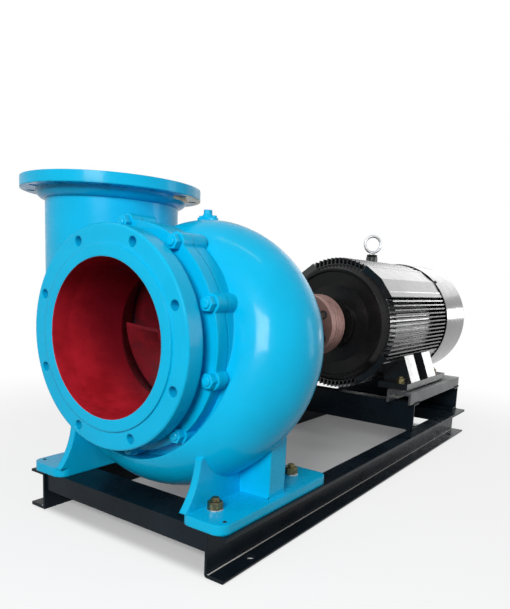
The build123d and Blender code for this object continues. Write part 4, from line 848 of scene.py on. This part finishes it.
# %% Ring of the lifting eye
EYE = Vector((0.463, 0, 0.774))
BAR_RADIUS, RING_RADIUS, EYE_TURN = 0.0056, 0.0312, -52
ring = bmesh.new()
bmesh.ops.create_circle(ring, segments=14, radius=BAR_RADIUS)
bmesh.ops.rotate(ring, verts=ring.verts, cent=(0, 0, 0), matrix=Matrix.Rotation(math.radians(90), 3, "X"))
bmesh.ops.translate(ring, verts=ring.verts, vec=(RING_RADIUS, 0, 0))
bmesh.ops.spin(ring, geom=ring.verts[:] + ring.edges[:], cent=(0, 0, 0), axis=(0, 0, 1), angle=math.tau,
               steps=48, use_merge=True)
bmesh.ops.remove_doubles(ring, verts=ring.verts, dist=1e-6)
bmesh.ops.recalc_face_normals(ring, faces=ring.faces)
print("ring:", round(2000 * (RING_RADIUS + BAR_RADIUS), 1), "mm across,", len(ring.faces), "faces")

# %% Lifting eye and its collar
eye_place = Matrix.Translation(EYE)
facing = Matrix.Rotation(math.radians(EYE_TURN), 4, "Z") @ Matrix.Rotation(math.radians(90), 4, "X")
neck = turned_form([(0, -0.041), (0.0150, -0.041), (0.0150, -0.0395), (0.0085, -0.036), (0.0062, -0.031),
                    (0, -0.029)])
settle("lifting_eye", gather([(ring, [eye_place @ facing]), (neck, [eye_place])]),
       zinc, "pump_set", "zinc_bolts", sharp=40)
collar = turned_form([(0, -0.064), (0.0060, -0.064), (0.0060, -0.0515), (0.0200, -0.0515), (0.0208, -0.0500),
                      (0.0208, -0.0425), (0.0195, -0.0405), (0, -0.0405)])
settle("eye_collar", gather([(collar, [eye_place])]), motor_black, "pump_set", "motor_black", ["eye_bolt"])

# %% [markdown]
# ## Weld beads
# The base is welded from channels. Seen close, each weld is a row of overlapping ripples. A bead is turned
# too: its outline swells and shrinks every few millimetres, and half of it lies hidden in the steel.

# %% Weld bead
RIPPLE_LENGTH, SWELL, SWELL_BY, SWELL_STEP, VALLEY = 0.9, 0.92, 0.10, 2.399, 0.72


def weld_bead(length, radius):
    """Rippled rod as long as a weld."""
    ripples = max(4, round(length / (radius * RIPPLE_LENGTH)))
    outline = [(0, 0)]
    for ripple in range(ripples):
        swell = SWELL + SWELL_BY * math.sin(ripple * SWELL_STEP)
        outline += [(radius * VALLEY * swell, length * (ripple + 0.15) / ripples),
                    (radius * swell, length * (ripple + 0.6) / ripples)]
    return turned_form(outline + [(0, length)], segments=10)


print("a bead of 48 mm has", len(weld_bead(0.048, 0.0035).faces), "faces")

# %% Beads of the base
BEAD, THIN_BEAD = 0.0035, 0.003
PEDESTAL_FRONT, PEDESTAL_REAR, CHANNEL_FLANGE = 0.293, 0.820, 0.048
SEAM_OUT, SHORT_SEAM_OUT, SHORT_SEAM = 0.2885, 0.2795, 0.017
BEAM_TOP, PEDESTAL_TOP = 0.1005, 0.2005
CROSS_STARTS, CROSS_SEAM, CROSS_SEAM_OUT, CROSS_SEAM_LEVEL = (-0.813, 0.725), 0.088, 0.2705, 0.094
ALONG, ACROSS = (1, 0, 0), (0, 1, 0)
beads = []
for side in SIDES:
    for front, way in ((PEDESTAL_FRONT, 1), (PEDESTAL_REAR, -1)):
        low, high = sorted((front, front + way * CHANNEL_FLANGE))
        beads += [(weld_bead(high - low, BEAD), [toward((low, side * SEAM_OUT, seam_level), ALONG)])
                  for seam_level in (BEAM_TOP, PEDESTAL_TOP)]
        corner = (front - way * 0.0005, side * SHORT_SEAM_OUT, BEAM_TOP)
        beads.append((weld_bead(SHORT_SEAM, BEAD), [toward(corner, ACROSS)]))
    for start in CROSS_STARTS:
        beads.append((weld_bead(CROSS_SEAM, THIN_BEAD),
                      [toward((start, side * CROSS_SEAM_OUT, CROSS_SEAM_LEVEL), ALONG)]))
settle("weld_beads", gather(beads), base_black, "pump_set", "base_black")

# %% [markdown]
# ## Fillets of the feet
# Where web and rib of a cast foot meet its plate, the pattern maker runs a hollow of about nine millimetres
# along the corner. A strip with a concave face, drawn as one outline and extruded along the corner, fills it.
# It reaches half a millimetre into the casting, so that no gap shows.

# %% Fillet strips
FILLET, SUNK = 0.009, 0.0005


def new_points(grown):
    """The vertices among what an operator made."""
    return [item for item in grown["geom"] if isinstance(item, bmesh.types.BMVert)]


def fillet_strip(length, radius, steps=6):
    """Strip with its corner on Z and its legs along X and Y."""
    made = bmesh.new()
    hollow = [(radius - radius * math.cos(math.radians(90 * step / steps)),
               radius - radius * math.sin(math.radians(90 * step / steps))) for step in range(steps + 1)]
    corners = [made.verts.new((x, y, 0)) for x, y in [(-SUNK, -SUNK), (radius, -SUNK)] + hollow[::-1]]
    face = made.faces.new(corners)
    grown = bmesh.ops.extrude_face_region(made, geom=[face])
    bmesh.ops.translate(made, vec=(0, 0, length), verts=new_points(grown))
    bmesh.ops.recalc_face_normals(made, faces=made.faces)
    return made


def corner_strip(start, end, leg):
    """A strip from start to end; one leg is given, the other is square to both."""
    run = Vector(end) - Vector(start)
    first, along = Vector(leg), run.normalized()
    second = along.cross(first)
    turn = Matrix((first, second, along)).transposed().to_4x4()
    return fillet_strip(run.length, FILLET), [Matrix.Translation(start) @ turn]


print("fillets of", FILLET * 1000, "mm")

# %% Fillets of both feet
WEB, RIB_HALF, RIB_END, RIB_TOP = -0.218, 0.031, -0.302, 0.215
web_front, web_rear = SUCTION_FACE + 0.046, SUCTION_FACE + 0.440
rib_low, rib_high, top = FOOT_MIDDLE - RIB_HALF, FOOT_MIDDLE + RIB_HALF, FOOT_TOP
near_strips = [
    ((rib_low, WEB, top), (web_front, WEB, top), (0, 0, 1)),
    ((web_rear, WEB, top), (rib_high, WEB, top), (0, 0, 1)),
    ((rib_low, WEB, top), (rib_low, RIB_END, top), (-1, 0, 0)),
    ((rib_high, RIB_END, top), (rib_high, WEB, top), (1, 0, 0)),
    ((rib_high, RIB_END, top), (rib_low, RIB_END, top), (0, 0, 1)),
    ((rib_low, WEB, top), (rib_low, WEB, RIB_TOP), (0, -1, 0)),
    ((rib_high, WEB, top), (rib_high, WEB, RIB_TOP), (1, 0, 0)),
]
fillets = gather([corner_strip(*strip) for strip in near_strips])
copied = bmesh.ops.duplicate(fillets, geom=fillets.verts[:] + fillets.edges[:] + fillets.faces[:])
bmesh.ops.scale(fillets, vec=(1, -1, 1), verts=new_points(copied))
bmesh.ops.recalc_face_normals(fillets, faces=fillets.faces)
settle("foot_fillets", fillets, fillet_paint, "pump_set", "blue_paint")

# %% [markdown]
# ## Crown of the scroll
# Behind the priming plug the CAD solid has a fault: its water space comes out through the wall, over a place
# as wide as a hand. The real casting is closed there. A flat grid is bent over the hole: one direction
# follows the scroll round the shaft, the other the round section of its tube. The border dips under the skin.

# %% Crown wall
# Degrees round the shaft with the scroll's outer radius there, at two places between which it grows evenly
CROWN_START, CROWN_END = (4.3, 0.2660), (48.6, 0.3340)
# Middle of the patch and its reach each way, in degrees round the shaft and round the tube
CROWN_MIDDLE, CROWN_REACH = (26, 22), (13, 28)
TUBE_START, TUBE_GROWTH, TUBE_FRONT = 0.100, 0.065 / 270, 0.140
CROWN_SEGMENTS, BORDER_DIP, CROWN_THICK = 24, 0.005, 0.004
crown = bmesh.new()
bmesh.ops.create_grid(crown, x_segments=CROWN_SEGMENTS, y_segments=CROWN_SEGMENTS, size=1)
for vert in crown.verts:
    round_scroll = CROWN_MIDDLE[0] + CROWN_REACH[0] * vert.co.x
    round_tube = math.radians(CROWN_MIDDLE[1] + CROWN_REACH[1] * vert.co.y)
    share = (round_scroll - CROWN_START[0]) / (CROWN_END[0] - CROWN_START[0])
    outside = CROWN_START[1] + (CROWN_END[1] - CROWN_START[1]) * share
    outside -= BORDER_DIP * max(abs(vert.co.x), abs(vert.co.y)) ** 6
    tube = TUBE_START + TUBE_GROWTH * round_scroll
    out = outside - tube + tube * math.cos(round_tube)
    turn = math.radians(round_scroll)
    vert.co = (SUCTION_FACE + TUBE_FRONT + tube + tube * math.sin(round_tube), -out * math.sin(turn),
               SHAFT_HEIGHT + out * math.cos(turn))
bmesh.ops.recalc_face_normals(crown, faces=crown.faces)
if sum(face.normal.z for face in crown.faces) < 0:
    bmesh.ops.reverse_faces(crown, faces=crown.faces)
bmesh.ops.solidify(crown, geom=crown.faces[:], thickness=CROWN_THICK)
settle("crown_wall", crown, volute_paint, "pump_set", "blue_paint", sharp=60)

# %% [markdown]
